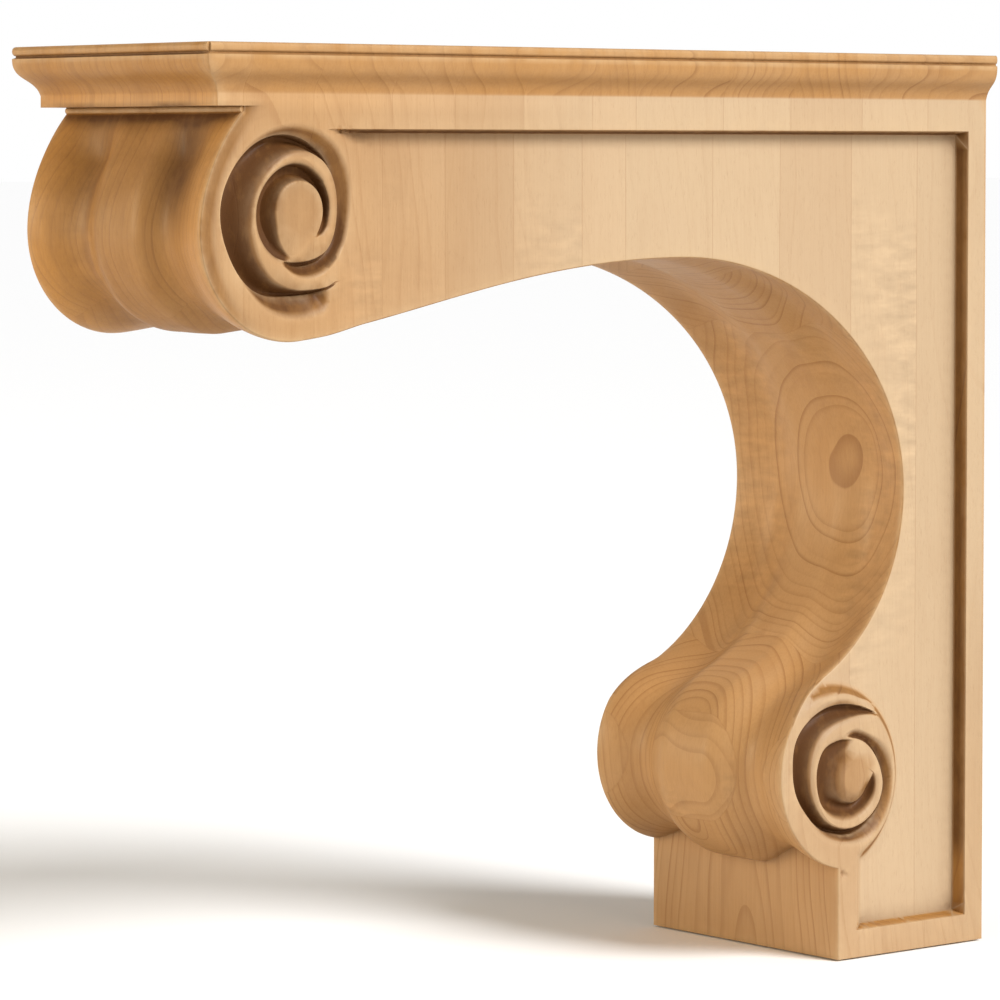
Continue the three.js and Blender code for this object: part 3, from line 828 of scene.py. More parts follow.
def cap_mesh(form):
    """The cap's moulding as a closed solid: one level loop for each point of its section."""
    block = form.block
    out = block.cap_projection
    quirk = form.top - block.cap_bead
    ogee_top = quirk - block.cap_quirk
    rise = ogee_top - form.ogee_foot
    ogee = Sweep(
        (0, form.ogee_foot), (0.2 * out, form.ogee_foot + 0.5 * rise),
        (1.02 * out, ogee_top - 0.6 * rise), (out, ogee_top),
    )
    curve, _ = ogee.at(np.linspace(0, 1, 25))
    ease = block.cap_easing
    section = [(0.0, form.soffit), (0.0, form.soffit + 0.5 * block.cap_fillet)]
    section += [tuple(place) for place in curve]
    section += [(out - 0.2 * MM, ogee_top + 0.15 * MM), (out - ease, ogee_top + 0.5 * block.cap_quirk)]
    height = block.cap_bead / 2
    for turn in np.radians(np.arange(-90, 91, 30)):
        level = quirk + height + height * math.sin(turn) * 0.98
        section.append((out - ease + ease * math.cos(turn), level))
    section.append((out - 2 * ease, form.top))
    corner = 0.8 * MM
    side, across = 90, 30
    vertices, faces = [], []
    for reach, level in section:
        x, y = form.half + reach, form.foot_front - reach * block.cap_front / out
        right = [(x, mix(0.0, y + corner, i / side)) for i in range(side)]
        for turn in np.radians(np.arange(0, 91, 30)):
            right.append((x - corner + corner * math.cos(turn), y + corner - corner * math.sin(turn)))
        front = [(mix(x - corner, corner - x, i / across), y) for i in range(1, across)]
        left = [(-right_x, own_y) for right_x, own_y in reversed(right)]
        vertices += [(*place, level) for place in right + front + left]
    count = len(vertices) // len(section)
    for level in range(len(section) - 1):
        for i in range(count):
            a, b = level * count + i, level * count + (i + 1) % count
            faces.append((a, b, b + count, a + count))
    faces.append(tuple(range(count - 1, -1, -1)))
    faces.append(tuple(range(len(vertices) - count, len(vertices))))
    return mesh_from(vertices, faces, "cap")


def linked(name, data):
    """An object in the scene that holds a mesh, a light or a camera."""
    piece = bpy.data.objects.new(name, data)
    bpy.context.scene.collection.objects.link(piece)
    return piece


def applied(pieces):
    """The first piece's mesh with its modifiers applied. The pieces are removed."""
    graph = bpy.context.evaluated_depsgraph_get()
    mesh = bpy.data.meshes.new_from_object(pieces[0].evaluated_get(graph))
    for piece in pieces:
        own = piece.data
        bpy.data.objects.remove(piece)
        bpy.data.meshes.remove(own)
    return mesh


def add_sockets(tree, in_out, kinds):
    """Adds a node tree's named sockets, each of its own kind."""
    for name, kind in kinds.items():
        tree.interface.new_socket(name, in_out=in_out, socket_type="NodeSocket" + kind)


def rod_tree():
    """Geometry node tree: a round rod between two places, with named inputs."""
    tree = bpy.data.node_groups.new("rod", "GeometryNodeTree")
    add_sockets(tree, "INPUT", {
        "Start": "Vector", "End": "Vector", "Radius": "Float", "Sides": "Int", "Material": "Material",
    })
    add_sockets(tree, "OUTPUT", {"Geometry": "Geometry"})
    names = {
        "entry": "NodeGroupInput",
        "path": "GeometryNodeCurvePrimitiveLine",
        "section": "GeometryNodeCurvePrimitiveCircle",
        "rod": "GeometryNodeCurveToMesh",
        "real": "GeometryNodeRealizeInstances",
        "painted": "GeometryNodeSetMaterial",
        "exit": "NodeGroupOutput",
    }
    nodes = {}
    for index, (name, kind) in enumerate(names.items()):
        nodes[name] = tree.nodes.new(kind)
        nodes[name].location = (index * 200, 0)
    nodes["rod"].inputs["Fill Caps"].default_value = True
    for source, output, target, name in (
        ("entry", "Start", "path", "Start"),
        ("entry", "End", "path", "End"),
        ("entry", "Radius", "section", "Radius"),
        ("entry", "Sides", "section", "Resolution"),
        ("path", "Curve", "rod", "Curve"),
        ("section", "Curve", "rod", "Profile Curve"),
        ("rod", "Mesh", "real", "Geometry"),
        ("real", "Geometry", "painted", "Geometry"),
        ("entry", "Material", "painted", "Material"),
        ("painted", "Geometry", "exit", "Geometry"),
    ):
        tree.links.new(nodes[source].outputs[output], nodes[target].inputs[name])
    return tree


def neck_bead_mesh(form, material):
    """The fine bead under the soffit."""
    radius = form.block.neck_bead_radius
    half = form.half - form.hollow.cheek_depth * 0.6 - 0.3 * MM
    level = form.soffit + form.block.neck_bead_sunk - radius
    inputs = {
        "Start": (-half, form.neck, level),
        "End": (half, form.neck, level),
        "Radius": radius,
        "Sides": 18,
        "Material": material,
    }
    tree = rod_tree()
    piece = linked("neck bead", bpy.data.meshes.new("neck bead"))
    modifier = piece.modifiers.new("rod", "NODES")
    modifier.node_group = tree
    for item in tree.interface.items_tree:
        if item.in_out == "INPUT":
            modifier[item.identifier] = inputs[item.name]
    return applied([piece])


def corner_chip(form):
    """A small block where the bead's near corner is broken off."""
    x, y = FRAME_HIGH.x, form.front
    inner, outer = 2.1 * MM, 1.5 * MM
    low = form.top - form.block.cap_bead - 0.5 * MM
    corners = [(x - inner, y - outer), (x + outer, y - outer), (x + outer, y + 1.9 * MM),
               (x - inner * 0.75, y + 1.9 * MM)]
    vertices = [(*corner, level) for level in (low, form.top + outer) for corner in corners]
    faces = [(3, 2, 1, 0), (4, 5, 6, 7)] + [(i, (i + 1) % 4, (i + 1) % 4 + 4, i + 4) for i in range(4)]
    return mesh_from(vertices, faces, "corner chip")


def joined(meshes, cuts):
    """One closed mesh from several that overlap, less the cuts."""
    pieces = [linked(mesh.name, outward(mesh)) for mesh in meshes + cuts]
    for index, other in enumerate(pieces[1:], 1):
        step = pieces[0].modifiers.new(other.name, "BOOLEAN")
        step.operation = "UNION" if index < len(meshes) else "DIFFERENCE"
        step.solver = "MANIFOLD"
        step.object = other
    return applied(pieces)


def vertex_arrays(mesh):
    """The vertices' places and normals."""
    found = []
    for name in ("co", "normal"):
        values = np.zeros(len(mesh.vertices) * 3)
        mesh.vertices.foreach_get(name, values)
        found.append(values.reshape(-1, 3))
    return found


def edge_ends(mesh):
    """The two vertices of each edge, as two arrays."""
    ends = np.zeros(len(mesh.edges) * 2, int)
    mesh.edges.foreach_get("vertices", ends)
    return ends.reshape(-1, 2).T


def hemisphere(count):
    """Directions over a hemisphere about +Z, denser near the pole, on a spiral."""
    index = np.arange(count) + 0.5
    height = np.sqrt(1 - index / count)
    turn = index * math.pi * (3 - math.sqrt(5))
    flat = np.sqrt(1 - height**2)
    return np.stack([flat * np.cos(turn), flat * np.sin(turn), height], -1)


def shelter(mesh, reach):
    """For each vertex how sheltered it is by the form near it, from 0 in the open to 1 in a crevice. This
    occlusion measure is painted as shade.
    """
    count = len(mesh.vertices)
    places, normals = vertex_arrays(mesh)
    tree = BVHTree.FromPolygons(
        [tuple(place) for place in places], [tuple(face.vertices) for face in mesh.polygons]
    )
    helper = np.where(np.abs(normals[:, :1]) < 0.9, [[1.0, 0, 0]], [[0, 1.0, 0]])
    across = np.cross(normals, helper)
    across /= np.maximum(np.linalg.norm(across, axis=1, keepdims=True), 1e-9)
    along = np.cross(normals, across)
    starts = places + normals * 0.3 * MM
    total = np.zeros(count)
    rays = hemisphere(SHELTER_RAYS)
    for ray in rays:
        ways = ray[0] * across + ray[1] * along + ray[2] * normals
        for i in range(count):
            distance = tree.ray_cast(Vector(starts[i]), Vector(ways[i]), reach)[3]
            if distance is not None:
                total[i] += 1 - distance / reach
    return total / len(rays)


def bend(mesh):
    """For each vertex how strongly the surface bends there, in 1/m: above 0 on ridges."""
    count = len(mesh.vertices)
    places, normals = vertex_arrays(mesh)
    a, b = edge_ends(mesh)
    span = places[a] - places[b]
    size = np.maximum((span**2).sum(1), 1e-9)
    own = ((normals[a] - normals[b]) * span).sum(1) / size
    total, weight = np.zeros(count), np.zeros(count)
    for side in (a, b):
        np.add.at(total, side, own)
        np.add.at(weight, side, 1)
    return total / np.maximum(weight, 1)


def spread_out(mesh, values, rounds):
    """Averages a value with its neighbours a few times."""
    a, b = edge_ends(mesh)
    for _ in range(rounds):
        total, weight = values.copy(), np.ones(len(values))
        np.add.at(total, a, values[b])
        np.add.at(total, b, values[a])
        np.add.at(weight, a, 1)
        np.add.at(weight, b, 1)
        values = total / weight
    return values


def store(mesh, name, values):
    """Keeps one value for each vertex under a name that the material reads."""
    attribute = mesh.attributes.new(name, "FLOAT", "POINT")
    attribute.data.foreach_set("value", values.astype(np.float32))


# How far each kind of place is darkened towards the glazing colour: real glazing in the carving, painted
# shade in the hollows, on the front and on faces that look down, and a plain darker tone on the moulding,
# the eyes and the low frame
STAIN_AND_SHADE = {
    # crevice: ray-cast occlusion painted as shade, with the glazing that gathers there
    "crevice": 0.80,
    # groove, field wall: real glazing in the carving, together with painted shade in these hollows
    "groove": 0.82,
    "field wall": 0.50,
    # cheek: painted shade on the bevel that tilts towards the front
    "cheek": 0.42,
    "moulding": 0.18,
    "eye": 0.14,
    # front of a side: painted shade, the sides growing darker towards the front
    "front of a side": 0.16,
    "low frame": 0.11,
    # front scroll, pocket: painted shade on the front scroll away from its rims, and in the valleys under
    # the neck
    "front scroll": 0.27,
    "pocket": 0.60,
    # underside: painted shade on the faces that look down
    "underside": 0.20,
}
# A fixed darkening over the neck bead in place of all the others, and the share by which the plinth's front
# is darkened less by glazing and painted shade
BEAD_DARKENING = 0.35
PLINTH_LESS_DARKENING = 0.7

# How far each kind of place takes the darker honey tone: partly the finish soaking further into end grain
# and curves, partly painted shade on faces that look away from the lit sides
HONEY_AND_SHADE = {
    "facing": 1.0,
    "groove": 1.0,
    "field wall": 1.0,
    "cheek": 0.9,
    "moulding": 0.8,
    "eye": 0.5,
    "front of a side": 0.5,
    "low frame": 0.22,
}

# How far, and along how many rays, a crevice is felt for in the painted shade, and the bend in 1/m at which
# a ridge is fully lightened by wear and a painted highlight
SHELTER_REACH, SHELTER_RAYS = 0.032, 14
WEAR_AND_HIGHLIGHT_BEND = 240


def mark_surface(mesh, form):
    """Stores where glazing and painted shade darken the surface, where ridges are lightened by wear and a
    painted highlight, and where the darker honey tone goes, partly as painted shade on faces that look away
    from the sides.
    """
    places, normals = vertex_arrays(mesh)
    x, y, z = places.T
    normal_x, normal_y, normal_z = normals.T
    below_cap = z < form.soffit
    on_side = (np.abs(form.half - np.abs(x) - form.side_depth(y, z)) < 0.5 * MM) & below_cap

    cut = np.max([volute.depth(y, z) - 0.35 * volute.dome for volute in form.volutes], axis=0)
    groove = smooth((cut + 0.2 * MM) / (1.7 * MM)) * on_side
    front_eye, lower_eye = (volute.eye[0] for volute in form.volutes)
    from_eye = y - np.where(y < form.neck + 0.1, front_eye, lower_eye)
    eye = on_side * sum(
        np.hypot(y - volute.eye[0], z - volute.eye[1]) < volute.bare_eye for volute in form.volutes
    )
    sunk = np.where(on_side, form.field_depth(y, z) / form.field.recess, 0)
    field_wall = on_side & (np.abs(normal_x) < 0.75) & (sunk > 0.05)
    cheek = smooth(form.cheek_depth(y, z) / (0.5 * form.hollow.cheek_depth)) * on_side
    moulding = smooth((z - form.ogee_foot) / (1.5 * MM))
    moulding = moulding * (np.abs(normal_z) < 0.95) * (normal_y < 0.9)
    above_low_part = form.bottom + 0.25 - z

    facing = smooth((1 - np.abs(normal_x)) / 0.6)
    front = facing * smooth((-0.36 - y) / 0.10) * below_cap
    place = np.abs(x) / form.half
    edge, deep = form.hollow.bulge_edge, form.hollow.front_place
    valley = np.minimum(smooth((place - edge) / (deep - edge)), smooth((1 - place) / (1 - deep)))
    # Painted shade in the valleys under the neck, where the cap shades them
    pocket = front * valley**1.5 * smooth((z - form.front_scroll[1] + 0.012) / 0.04)
    plinth = facing * smooth((form.lower_scroll[1] - 0.045 - z) / 0.02)

    shares = {
        # crevice: painted shade from ray-cast occlusion, with the glazing that gathers there
        "crevice": smooth((spread_out(mesh, shelter(mesh, SHELTER_REACH), 1) - 0.06) / 0.42),
        # groove: glazing with painted shade, heavier on the side of each eye towards the front; field wall:
        # the same on the recess walls
        "groove": groove * (0.62 + 0.38 * smooth(0.5 - from_eye / 0.03)),
        "field wall": field_wall,
        # cheek: painted shade on the bevel that tilts towards the front
        "cheek": cheek,
        "moulding": moulding,
        "eye": eye,
        # front of a side: painted shade, the sides growing darker towards the front
        "front of a side": smooth((-0.22 - y) / 0.25) * on_side,
        "low frame": (1 - sunk) * smooth(above_low_part / 0.1) * on_side,
        # front scroll: painted shade, lighter near the rims; pocket: painted shade, heavier on the +X side
        "front scroll": front * (1 - smooth((place - 0.6) / 0.3)),
        "pocket": pocket * np.where(x > 0, 1.0, 0.5),
        # underside: painted shade on the faces that look down
        "underside": facing * smooth(-normal_z),
    }
    # Glazing in the carving and painted shade, summed, and lighter on the plinth's front
    glaze_and_shade = sum(STAIN_AND_SHADE[name] * share for name, share in shares.items()) * (1 - PLINTH_LESS_DARKENING * plinth)
    bead = form.block.neck_bead_radius
    on_bead = (np.hypot(y - form.neck, z - form.soffit + bead) < 1.3 * bead) & (y < form.neck)
    store(mesh, "glaze_and_shade", np.clip(np.where(on_bead, BEAD_DARKENING, glaze_and_shade), 0, 1))
    # Ridges lightened: wear through the finish on the edges, together with a painted highlight along them
    store(mesh, "worn_and_highlight", np.clip(spread_out(mesh, bend(mesh), 1) / WEAR_AND_HIGHLIGHT_BEND, 0, 1))

    shares = {
        # facing: the honey tone with painted shade on faces that look away from the sides, lighter towards
        # the wall and on the plinth's front
        "facing": facing * (1 - 0.32 * smooth((y + 0.36) / 0.2)) - 0.15 * plinth,
        "groove": groove,
        "field wall": field_wall,
        "cheek": cheek,
        "moulding": moulding,
        "eye": eye,
        # front of a side: painted shade, the sides taking the honey tone towards the front
        "front of a side": smooth((-0.26 - y) / 0.24),
        "low frame": (1 - sunk) * smooth(above_low_part / 0.2),
    }
    # The honey tone, partly painted shade on faces that look away from the sides
    honey = np.max([HONEY_AND_SHADE[name] * share for name, share in shares.items()], axis=0)
    store(mesh, "honey_and_shade_share", np.clip(honey, 0, 1))


class Shader:
    """Adds nodes to a shader tree. An input is a value or another node's socket."""

    def __init__(self, tree):
        self.tree = tree
        self.count = 0

    def add(self, kind, inputs=None, output=0, **settings):
        node = self.tree.nodes.new(kind)
        node.location = (self.count % 12 * 190, -(self.count // 12) * 240)
        self.count += 1
        for name, value in settings.items():
            setattr(node, name, value)
        for key, value in (inputs or {}).items():
            if isinstance(value, bpy.types.NodeSocket):
                self.tree.links.new(value, node.inputs[key])
            else:
                node.inputs[key].default_value = value
        return node.outputs[output]

    def math(self, operation, first, second=0.0, third=None, clamp=False):
        inputs = {0: first, 1: second}
        if third is not None:
            inputs[2] = third
        return self.add("ShaderNodeMath", inputs, operation=operation, use_clamp=clamp)

    def times(self, first, second):
        return self.math("MULTIPLY", first, second)

    def plus(self, first, second):
        return self.math("ADD", first, second)

    def minus(self, first, second):
        return self.math("SUBTRACT", first, second)

    def line(self, value, slope, start):
        """value times slope, plus start."""
        return self.math("MULTIPLY_ADD", value, slope, start)

    def mix(self, share, first, second, blend="MIX"):
        inputs = {0: share, 6: first, 7: second}
        return self.add("ShaderNodeMix", inputs, output=2, data_type="RGBA", blend_type=blend)

    def ramp(self, value, low, high):
        """Eases from 0 to 1 as the value goes from low to high."""
        inputs = {"Value": value, "From Min": low, "From Max": high}
        return self.add("ShaderNodeMapRange", inputs, interpolation_type="SMOOTHSTEP")

    def noise(self, place, scale, detail=2.0, roughness=0.5, output=0):
        """Noise in a place. Three scales in place of one stretch it."""
        if isinstance(scale, tuple):
            place, scale = self.add("ShaderNodeMapping", {"Vector": place, "Scale": scale}), 1.0
        inputs = {"Vector": place, "Scale": scale, "Detail": detail, "Roughness": roughness}
        return self.add("ShaderNodeTexNoise", inputs, output=output)

    def split(self, kind, value):
        """The three parts of a place or a colour."""
        return self.add(kind, {0: value}).node.outputs[:3]

    def attribute(self, name):
        return self.add("ShaderNodeAttribute", attribute_name=name, output=2)


# Places of the glue joints between the staves, from the front to the wall
STAVE_JOINTS = (
    -0.532, -0.487, -0.436, -0.394, -0.347, -0.299, -0.268, -0.2045, -0.154, -0.099, -0.047
)

# Below this count from the front, a stave's pith lies far to one side, so its rings run straight there
QUARTERED_STAVES = 5.5


def stave_group():
    """Shader group: the staves' own tones, growth rings, glue lines, ripple figure and fibres."""
    group = bpy.data.node_groups.new("maple staves", "ShaderNodeTree")
    add_sockets(group, "INPUT", {"Ring Spacing": "Float"})
    names = ("Tone", "Warmth", "Figure", "Rings", "Glue", "Ripple", "Fibre", "Pores")
    add_sockets(group, "OUTPUT", dict.fromkeys(names, "Float"))
    shader = Shader(group)
    entry = group.nodes.new("NodeGroupInput")
    place = shader.add("ShaderNodeTexCoord", output=3)
    x, y, z = shader.split("ShaderNodeSeparateXYZ", place)

    edges = (FRAME_LOW.y,) + STAVE_JOINTS + (FRAME_HIGH.y,)
    centres = [(a + b) / 2 for a, b in zip(edges, edges[1:])]
    sway = shader.times(shader.minus(shader.noise(place, 4.0), 0.5), 0.0016)
    leaning = shader.plus(y, sway)
    index, centre, glue = 0.0, centres[0], 1.0
    for joint, before, after in zip(STAVE_JOINTS, centres, centres[1:]):
        past = shader.math("GREATER_THAN", leaning, joint)
        index = shader.plus(past, index)
        centre = shader.line(past, after - before, centre)
        away = shader.math("ABSOLUTE", shader.minus(leaning, joint))
        glue = shader.math("MINIMUM", away, glue)
    chance = shader.add("ShaderNodeTexWhiteNoise", {"W": index}, noise_dimensions="1D", output=1)
    first, second, third = shader.split("ShaderNodeSeparateColor", chance)

    local = shader.minus(y, centre)
    side = shader.minus(shader.times(shader.math("GREATER_THAN", second, 0.5), 2), 1)
    pith_y = shader.times(side, shader.line(third, 0.07, 0.05))
    pith_x = shader.times(shader.minus(first, 0.5), 0.07)
    quartered = shader.math("LESS_THAN", index, QUARTERED_STAVES)
    pith_x = shader.line(quartered, -0.17, pith_x)
    seed = shader.times(index, 3.7)
    shifted = shader.add("ShaderNodeCombineXYZ", {0: x, 1: shader.plus(y, seed), 2: z})
    slow = shader.split("ShaderNodeSeparateColor", shader.noise(shifted, (9, 9, 5), 2.0, 0.45, output=1))
    drift = [shader.times(shader.minus(part, 0.5), 0.034) for part in slow[:2]]
    from_x = shader.plus(shader.minus(x, pith_x), drift[0])
    from_y = shader.plus(shader.plus(local, pith_y), drift[1])
    from_y = shader.line(z, shader.line(first, 0.10, 0.06), from_y)
    radius = shader.math("SQRT", shader.plus(shader.times(from_x, from_x), shader.times(from_y, from_y)))
    turns = shader.math("DIVIDE", radius, entry.outputs["Ring Spacing"])
    inputs = {"W": turns, "Scale": 0.45, "Detail": 1.0}
    uneven = shader.add("ShaderNodeTexNoise", inputs, noise_dimensions="1D")
    turns = shader.line(uneven, 1.6, turns)
    phase = shader.math("FRACT", turns)
    late = shader.times(shader.ramp(phase, 0.25, 0.93), shader.minus(1, shader.ramp(phase, 0.94, 1.0)))
    ring = shader.math("FLOOR", turns)
    strength = shader.add("ShaderNodeTexWhiteNoise", {"W": ring}, noise_dimensions="1D")
    late = shader.times(shader.math("POWER", late, 3.6), shader.line(strength, 0.85, 0.15))

    wave = shader.noise(shifted, (60, 60, 190), 2.0, 0.55)
    banks = shader.noise(shifted, (20, 8, 9), 1.0)
    rippled = shader.times(shader.ramp(banks, 0.42, 0.66), shader.ramp(third, 0.35, 0.8))
    fibre = shader.noise(shifted, (900, 900, 22), 3.0, 0.6)
    dashes = shader.noise(shifted, (2600, 2600, 260), 1.0, 0.5)
    exit_node = group.nodes.new("NodeGroupOutput")
    values = {
        "Tone": first,
        "Warmth": second,
        "Figure": shader.line(shader.ramp(y, -0.30, -0.20), 0.4, 0.6),
        "Rings": late,
        "Glue": shader.minus(1, shader.ramp(glue, 0.00008, 0.00042)),
        "Ripple": shader.times(shader.minus(wave, 0.5), rippled),
        "Fibre": fibre,
        "Pores": shader.ramp(dashes, 0.62, 0.74),
    }
    for name, value in values.items():
        group.links.new(value, exit_node.inputs[name])
    return group


class MapleFinish(bpy.types.PropertyGroup):
    """Colours and gloss of the lacquered maple."""

    pale: colour("Pale maple", "Lightest of the staves", (0.475, 0.347, 0.217))
    pink: colour("Pink maple", "Warmer of the staves", (0.447, 0.311, 0.188))
    # Also carries painted shade on the fronts, the hollows and the sides near the front
    honey: colour("Honey", "Where the surface curves away from the sides", (0.455, 0.212, 0.046))
    ring: colour("Ring", "Late wood of a growth ring", (0.23, 0.095, 0.028))
    # The glazing colour, also used for the painted shade in crevices, grooves, recesses, the pocket under
    # the neck, the front and the faces that look down
    glaze_and_shade_colour: colour("Glaze", "Stain left in the grooves", (0.088, 0.032, 0.006))
    # Also the colour of the painted highlight along ridges
    bare_and_highlight: colour("Worn edge", "Ridges where the stain was rubbed off", (0.56, 0.39, 0.22))
    ring_spacing: length("Ring spacing", "Usual width of a growth ring", 0.0048)


def maple_material(finish):
    """The lacquered maple: staves, honey tone with painted shade on the fronts, figure, glazing and painted
    shade in the hollows, and ridges lightened by wear and a painted highlight.
    """
    material = bpy.data.materials.new("lacquered maple")
    material.use_nodes = True
    tree = material.node_tree
    shader = Shader(tree)
    principled = tree.nodes["Principled BSDF"]
    wood = tree.nodes.new("ShaderNodeGroup")
    wood.node_tree = stave_group()
    wood.inputs["Ring Spacing"].default_value = finish.ring_spacing
    tone, warmth, figure, rings, glue, ripple, fibre, pores = wood.outputs
    honey_and_shade_amount = shader.attribute("honey_and_shade_share")
    glaze_and_shade_share = shader.attribute("glaze_and_shade")
    worn_and_highlight = shader.attribute("worn_and_highlight")
    place = shader.add("ShaderNodeTexCoord", output=3)

    def solid(value):
        return (*value, 1)

    def shade(colour_before, amount):
        """Multiplies a colour by a grey amount."""
        grey = shader.add("ShaderNodeCombineColor", {0: amount, 1: amount, 2: amount})
        return shader.mix(1.0, colour_before, grey, "MULTIPLY")

    colour_now = shader.mix(warmth, solid(finish.pale), solid(finish.pink))
    colour_now = shade(colour_now, shader.line(tone, 0.09, 0.93))
    blotch = shader.ramp(shader.noise(place, (16, 16, 7), 3.0, 0.6), 0.3, 0.7)
    # Honey tone: partly the finish soaking in, partly painted shade
    honey_and_shade_mix = shader.times(honey_and_shade_amount, shader.line(blotch, 0.14, 0.86))
    colour_now = shader.mix(honey_and_shade_mix, colour_now, solid(finish.honey))
    clouds = shader.ramp(shader.noise(place, (55, 30, 13), 3.0, 0.55), 0.45, 0.75)
    clouds = shader.times(clouds, shader.line(honey_and_shade_amount, 0.20, 0.05))
    colour_now = shader.mix(clouds, colour_now, solid(finish.ring))
    streak = shader.ramp(fibre, 0.35, 0.7)
    streak = shader.times(streak, shader.line(honey_and_shade_amount, 0.12, 0.05))
    colour_now = shader.mix(streak, colour_now, solid(finish.ring))
    shown = shader.times(figure, shader.line(honey_and_shade_amount, 0.72, 0.07))
    colour_now = shader.mix(shader.times(rings, shown), colour_now, solid(finish.ring))
    colour_now = shader.mix(shader.times(pores, 0.16), colour_now, solid(finish.ring))
    colour_now = shade(colour_now, shader.line(ripple, 0.8, 1.0))
    joint = shader.times(glue, shader.line(honey_and_shade_amount, -0.2, 0.26))
    colour_now = shader.mix(joint, colour_now, solid(finish.ring))
    patchy = shader.noise(place, (170, 170, 60), 3.0, 0.6)
    patchy = shader.line(patchy, 0.5, 0.75)
    # Darkening towards the glazing colour: real glazing in the carving together with painted shade
    glaze_and_shade_mix = shader.math("MULTIPLY", glaze_and_shade_share, patchy, clamp=True)
    colour_now = shader.mix(glaze_and_shade_mix, colour_now, solid(finish.glaze_and_shade_colour))
    # Ridges lightened by wear together with a painted highlight
    rubbing_and_highlight = shader.times(worn_and_highlight, shader.ramp(shader.noise(place, 70, 3.0, 0.6), 0.1, 0.75))
    colour_now = shader.mix(shader.times(rubbing_and_highlight, 0.5), colour_now, solid(finish.bare_and_highlight))
    tree.links.new(colour_now, principled.inputs["Base Color"])

    gloss = shader.line(shader.noise(place, 60, 3.0, 0.6), 0.14, 0.34)
    gloss = shader.line(shader.minus(1, honey_and_shade_amount), 0.12, gloss)
    gloss = shader.line(glaze_and_shade_share, 0.3, gloss)
    tree.links.new(gloss, principled.inputs["Roughness"])
    height = shader.times(fibre, -0.35)
    height = shader.line(rings, -0.25, height)
    height = shader.line(pores, -0.5, height)
    height = shader.line(glue, -0.4, height)
    height = shader.line(shader.noise(place, 55, 2.0, 0.5), 1.4, height)
    bump = shader.add("ShaderNodeBump", {"Height": height, "Strength": 0.5, "Distance": 0.00022})
    tree.links.new(bump, principled.inputs["Normal"])
    principled.inputs["Specular IOR Level"].default_value = 0.18
    principled.inputs["Coat Weight"].default_value = 0.05
    principled.inputs["Coat Roughness"].default_value = 0.22
    return material


FORM_GROUPS = ("corbel_block", "corbel_scroll", "corbel_hollow", "corbel_field", "corbel_volute")
SHARP_EDGE = math.radians(38)


class CORBEL_OT_carve(bpy.types.Operator):
    """Carve the corbel and finish it in maple"""

    bl_idname = "corbel.carve"
    bl_label = "Carve the corbel"

    def execute(self, context):
        scene = context.scene
        form = Form(*(getattr(scene, name) for name in FORM_GROUPS))
        maple = maple_material(scene.corbel_finish)
        parts = [BodyMesh(form).build(), cap_mesh(form), neck_bead_mesh(form, maple)]
        mesh = joined(parts, [corner_chip(form)])
        mesh.name = "corbel_carving"
        mesh.shade_smooth()
        mesh.set_sharp_from_angle(angle=SHARP_EDGE)
        mark_surface(mesh, form)
        piece = linked("corbel_carving", mesh)
        mesh.materials.clear()
        mesh.materials.append(maple)
        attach(piece, "root")
        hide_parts("corbel")
        return {"FINISHED"}


class StudioSettings(bpy.types.PropertyGroup):
    """The camera and the lights."""

    focal: length("Focal length", "Focal length on a sensor 36 mm wide", 0.1692)
    heading: angle("Heading", "Direction the camera looks in, from +Y towards -X", 50.49)
    pitch: angle("Pitch", "How far the camera looks down", 3.012)
    shift: factor("Shift", "How far the view is shifted down, as a share of its width", 0.1)
    surround: factor("Surround", "Strength of the white surround", 0.30)
    sun: FloatProperty(name="Sun", description="Strength of the window's light", default=3.75)
    sun_width: angle("Sun width", "How wide the window's light is", 28)
    lamp: colour("Lamps", "Colour of the softboxes", (1.0, 0.84, 0.58))
    floor_tone: colour("Floor", "Colour of the floor", (0.99, 0.99, 0.99))


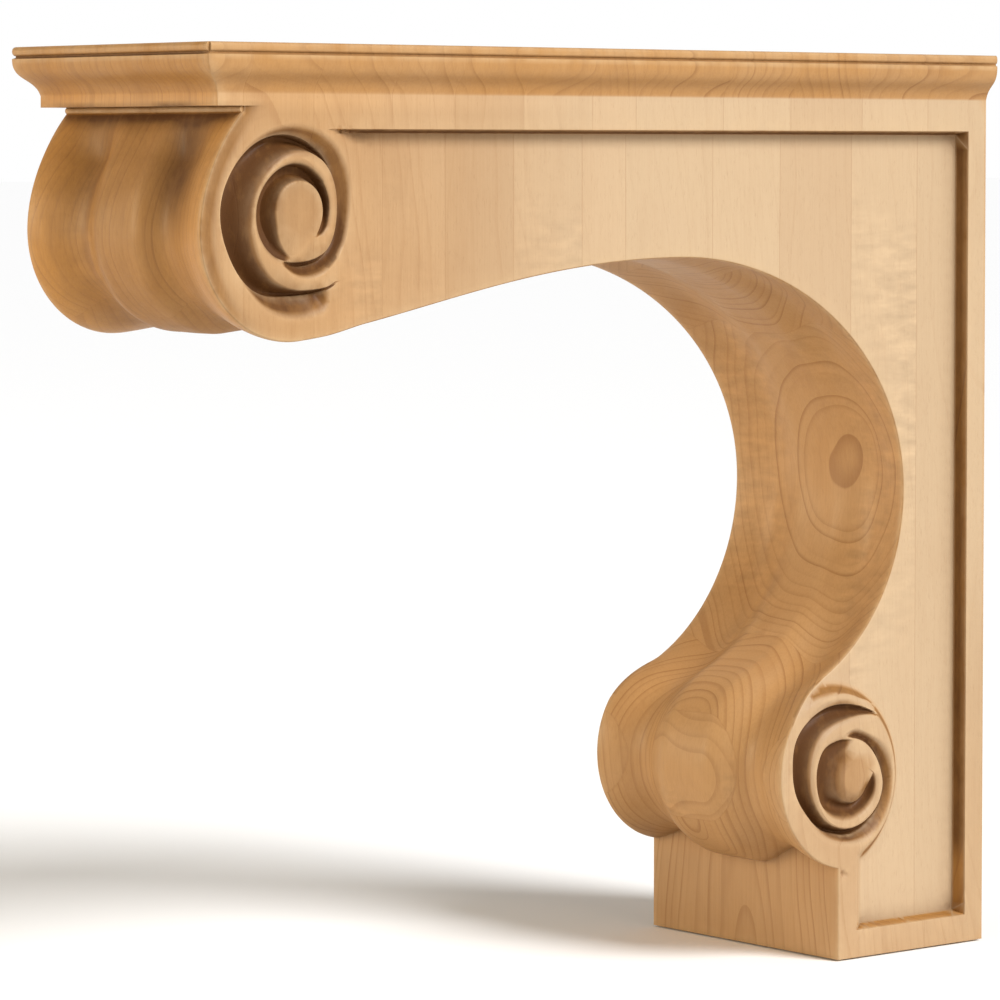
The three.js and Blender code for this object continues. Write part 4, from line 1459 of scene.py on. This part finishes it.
class CORBEL_OT_studio(bpy.types.Operator):
    """Set up the floor, the lights and the camera"""

    bl_idname = "corbel.studio"
    bl_label = "Set up the studio"

    CAMERA_PLACE = (1.99803, -1.94570, 0.20072)
    SUN_PLACE = (1.9, 0.35, 1.55)
    # Each softbox: its name, its place, its width and its power in watts
    SOFTBOXES = (
        ("left softbox", (-2.9, -4.4, 0.3), 3.0, 172),
        ("small softbox", (-1.55, -2.25, 0.5), 0.5, 9),
        ("right softbox", (2.6, -0.55, 0.75), 0.9, 12),
    )

    def execute(self, context):
        scene = context.scene
        studio = scene.corbel_studio
        self.camera(scene, studio)
        self.floor(studio)
        self.surround(scene, studio)
        sun = bpy.data.lights.new("window", "SUN")
        sun.energy, sun.angle = studio.sun, studio.sun_width
        self.hang(sun, self.SUN_PLACE)
        for name, place, size, power in self.SOFTBOXES:
            light = bpy.data.lights.new(name, "AREA")
            light.size, light.energy, light.color = size, power, studio.lamp
            self.hang(light, place)
        scene.view_settings.view_transform = "Standard"
        return {"FINISHED"}

    def camera(self, scene, studio):
        data = bpy.data.cameras.new("camera")
        data.sensor_width = 36
        data.lens = studio.focal * 1000
        data.shift_y = -studio.shift
        camera = linked("camera", data)
        camera.location = self.CAMERA_PLACE
        level = math.cos(studio.pitch)
        direction = Vector((
            -math.sin(studio.heading) * level, math.cos(studio.heading) * level, -math.sin(studio.pitch)
        ))
        camera.rotation_euler = direction.to_track_quat("-Z", "Y").to_euler()
        scene.camera = camera

    def floor(self, studio):
        reach, level = 60, FRAME_LOW.z - MM
        corners = [(-reach, -reach, level), (reach, -reach, level), (reach, reach, level),
                   (-reach, reach, level)]
        mesh = mesh_from(corners, [(0, 1, 2, 3)], "floor")
        floor = linked("floor", mesh)
        paint = bpy.data.materials.new("pale floor")
        paint.use_nodes = True
        principled = paint.node_tree.nodes["Principled BSDF"]
        principled.inputs["Base Color"].default_value = (*studio.floor_tone, 1)
        principled.inputs["Roughness"].default_value = 0.9
        mesh.materials.append(paint)

    def surround(self, scene, studio):
        world = bpy.data.worlds.new("studio")
        world.use_nodes = True
        shader = Shader(world.node_tree)
        backdrop = world.node_tree.nodes["Background"]
        backdrop.inputs["Color"].default_value = (1, 1, 1, 1)
        seen = shader.add("ShaderNodeLightPath", output=0)
        strength = shader.line(seen, 1 - studio.surround, studio.surround)
        world.node_tree.links.new(strength, backdrop.inputs["Strength"])
        scene.world = world

    def hang(self, light, place):
        lamp = linked(light.name, light)
        lamp.location = place
        aim = Vector((0, FRAME_LOW.y / 2, 0)) - Vector(place)
        lamp.rotation_euler = aim.to_track_quat("-Z", "Y").to_euler()


class CORBEL_PT_panel(bpy.types.Panel):
    """Lists the corbel's steps"""

    bl_idname = "CORBEL_PT_panel"
    bl_label = "Range hood corbel"
    bl_space_type = "VIEW_3D"
    bl_region_type = "UI"
    bl_category = "Corbel"

    def draw(self, context):
        self.layout.operator(CORBEL_OT_carve.bl_idname)
        self.layout.operator(CORBEL_OT_studio.bl_idname)


GROUPS = {
    "corbel_block": BlockSizes,
    "corbel_scroll": ScrollSizes,
    "corbel_hollow": HollowSizes,
    "corbel_field": FieldSizes,
    "corbel_volute": VoluteSizes,
    "corbel_finish": MapleFinish,
    "corbel_studio": StudioSettings,
}
CLASSES = [*GROUPS.values(), CORBEL_OT_carve, CORBEL_OT_studio, CORBEL_PT_panel]


def register():
    for one in CLASSES:
        bpy.utils.register_class(one)
    for name, group in GROUPS.items():
        setattr(bpy.types.Scene, name, PointerProperty(type=group))


def unregister():
    for name in GROUPS:
        delattr(bpy.types.Scene, name)
    for one in reversed(CLASSES):
        bpy.utils.unregister_class(one)


def main():
    register()
    bpy.ops.corbel.carve()
    bpy.ops.corbel.studio()


if __name__ == "__main__":
    main()
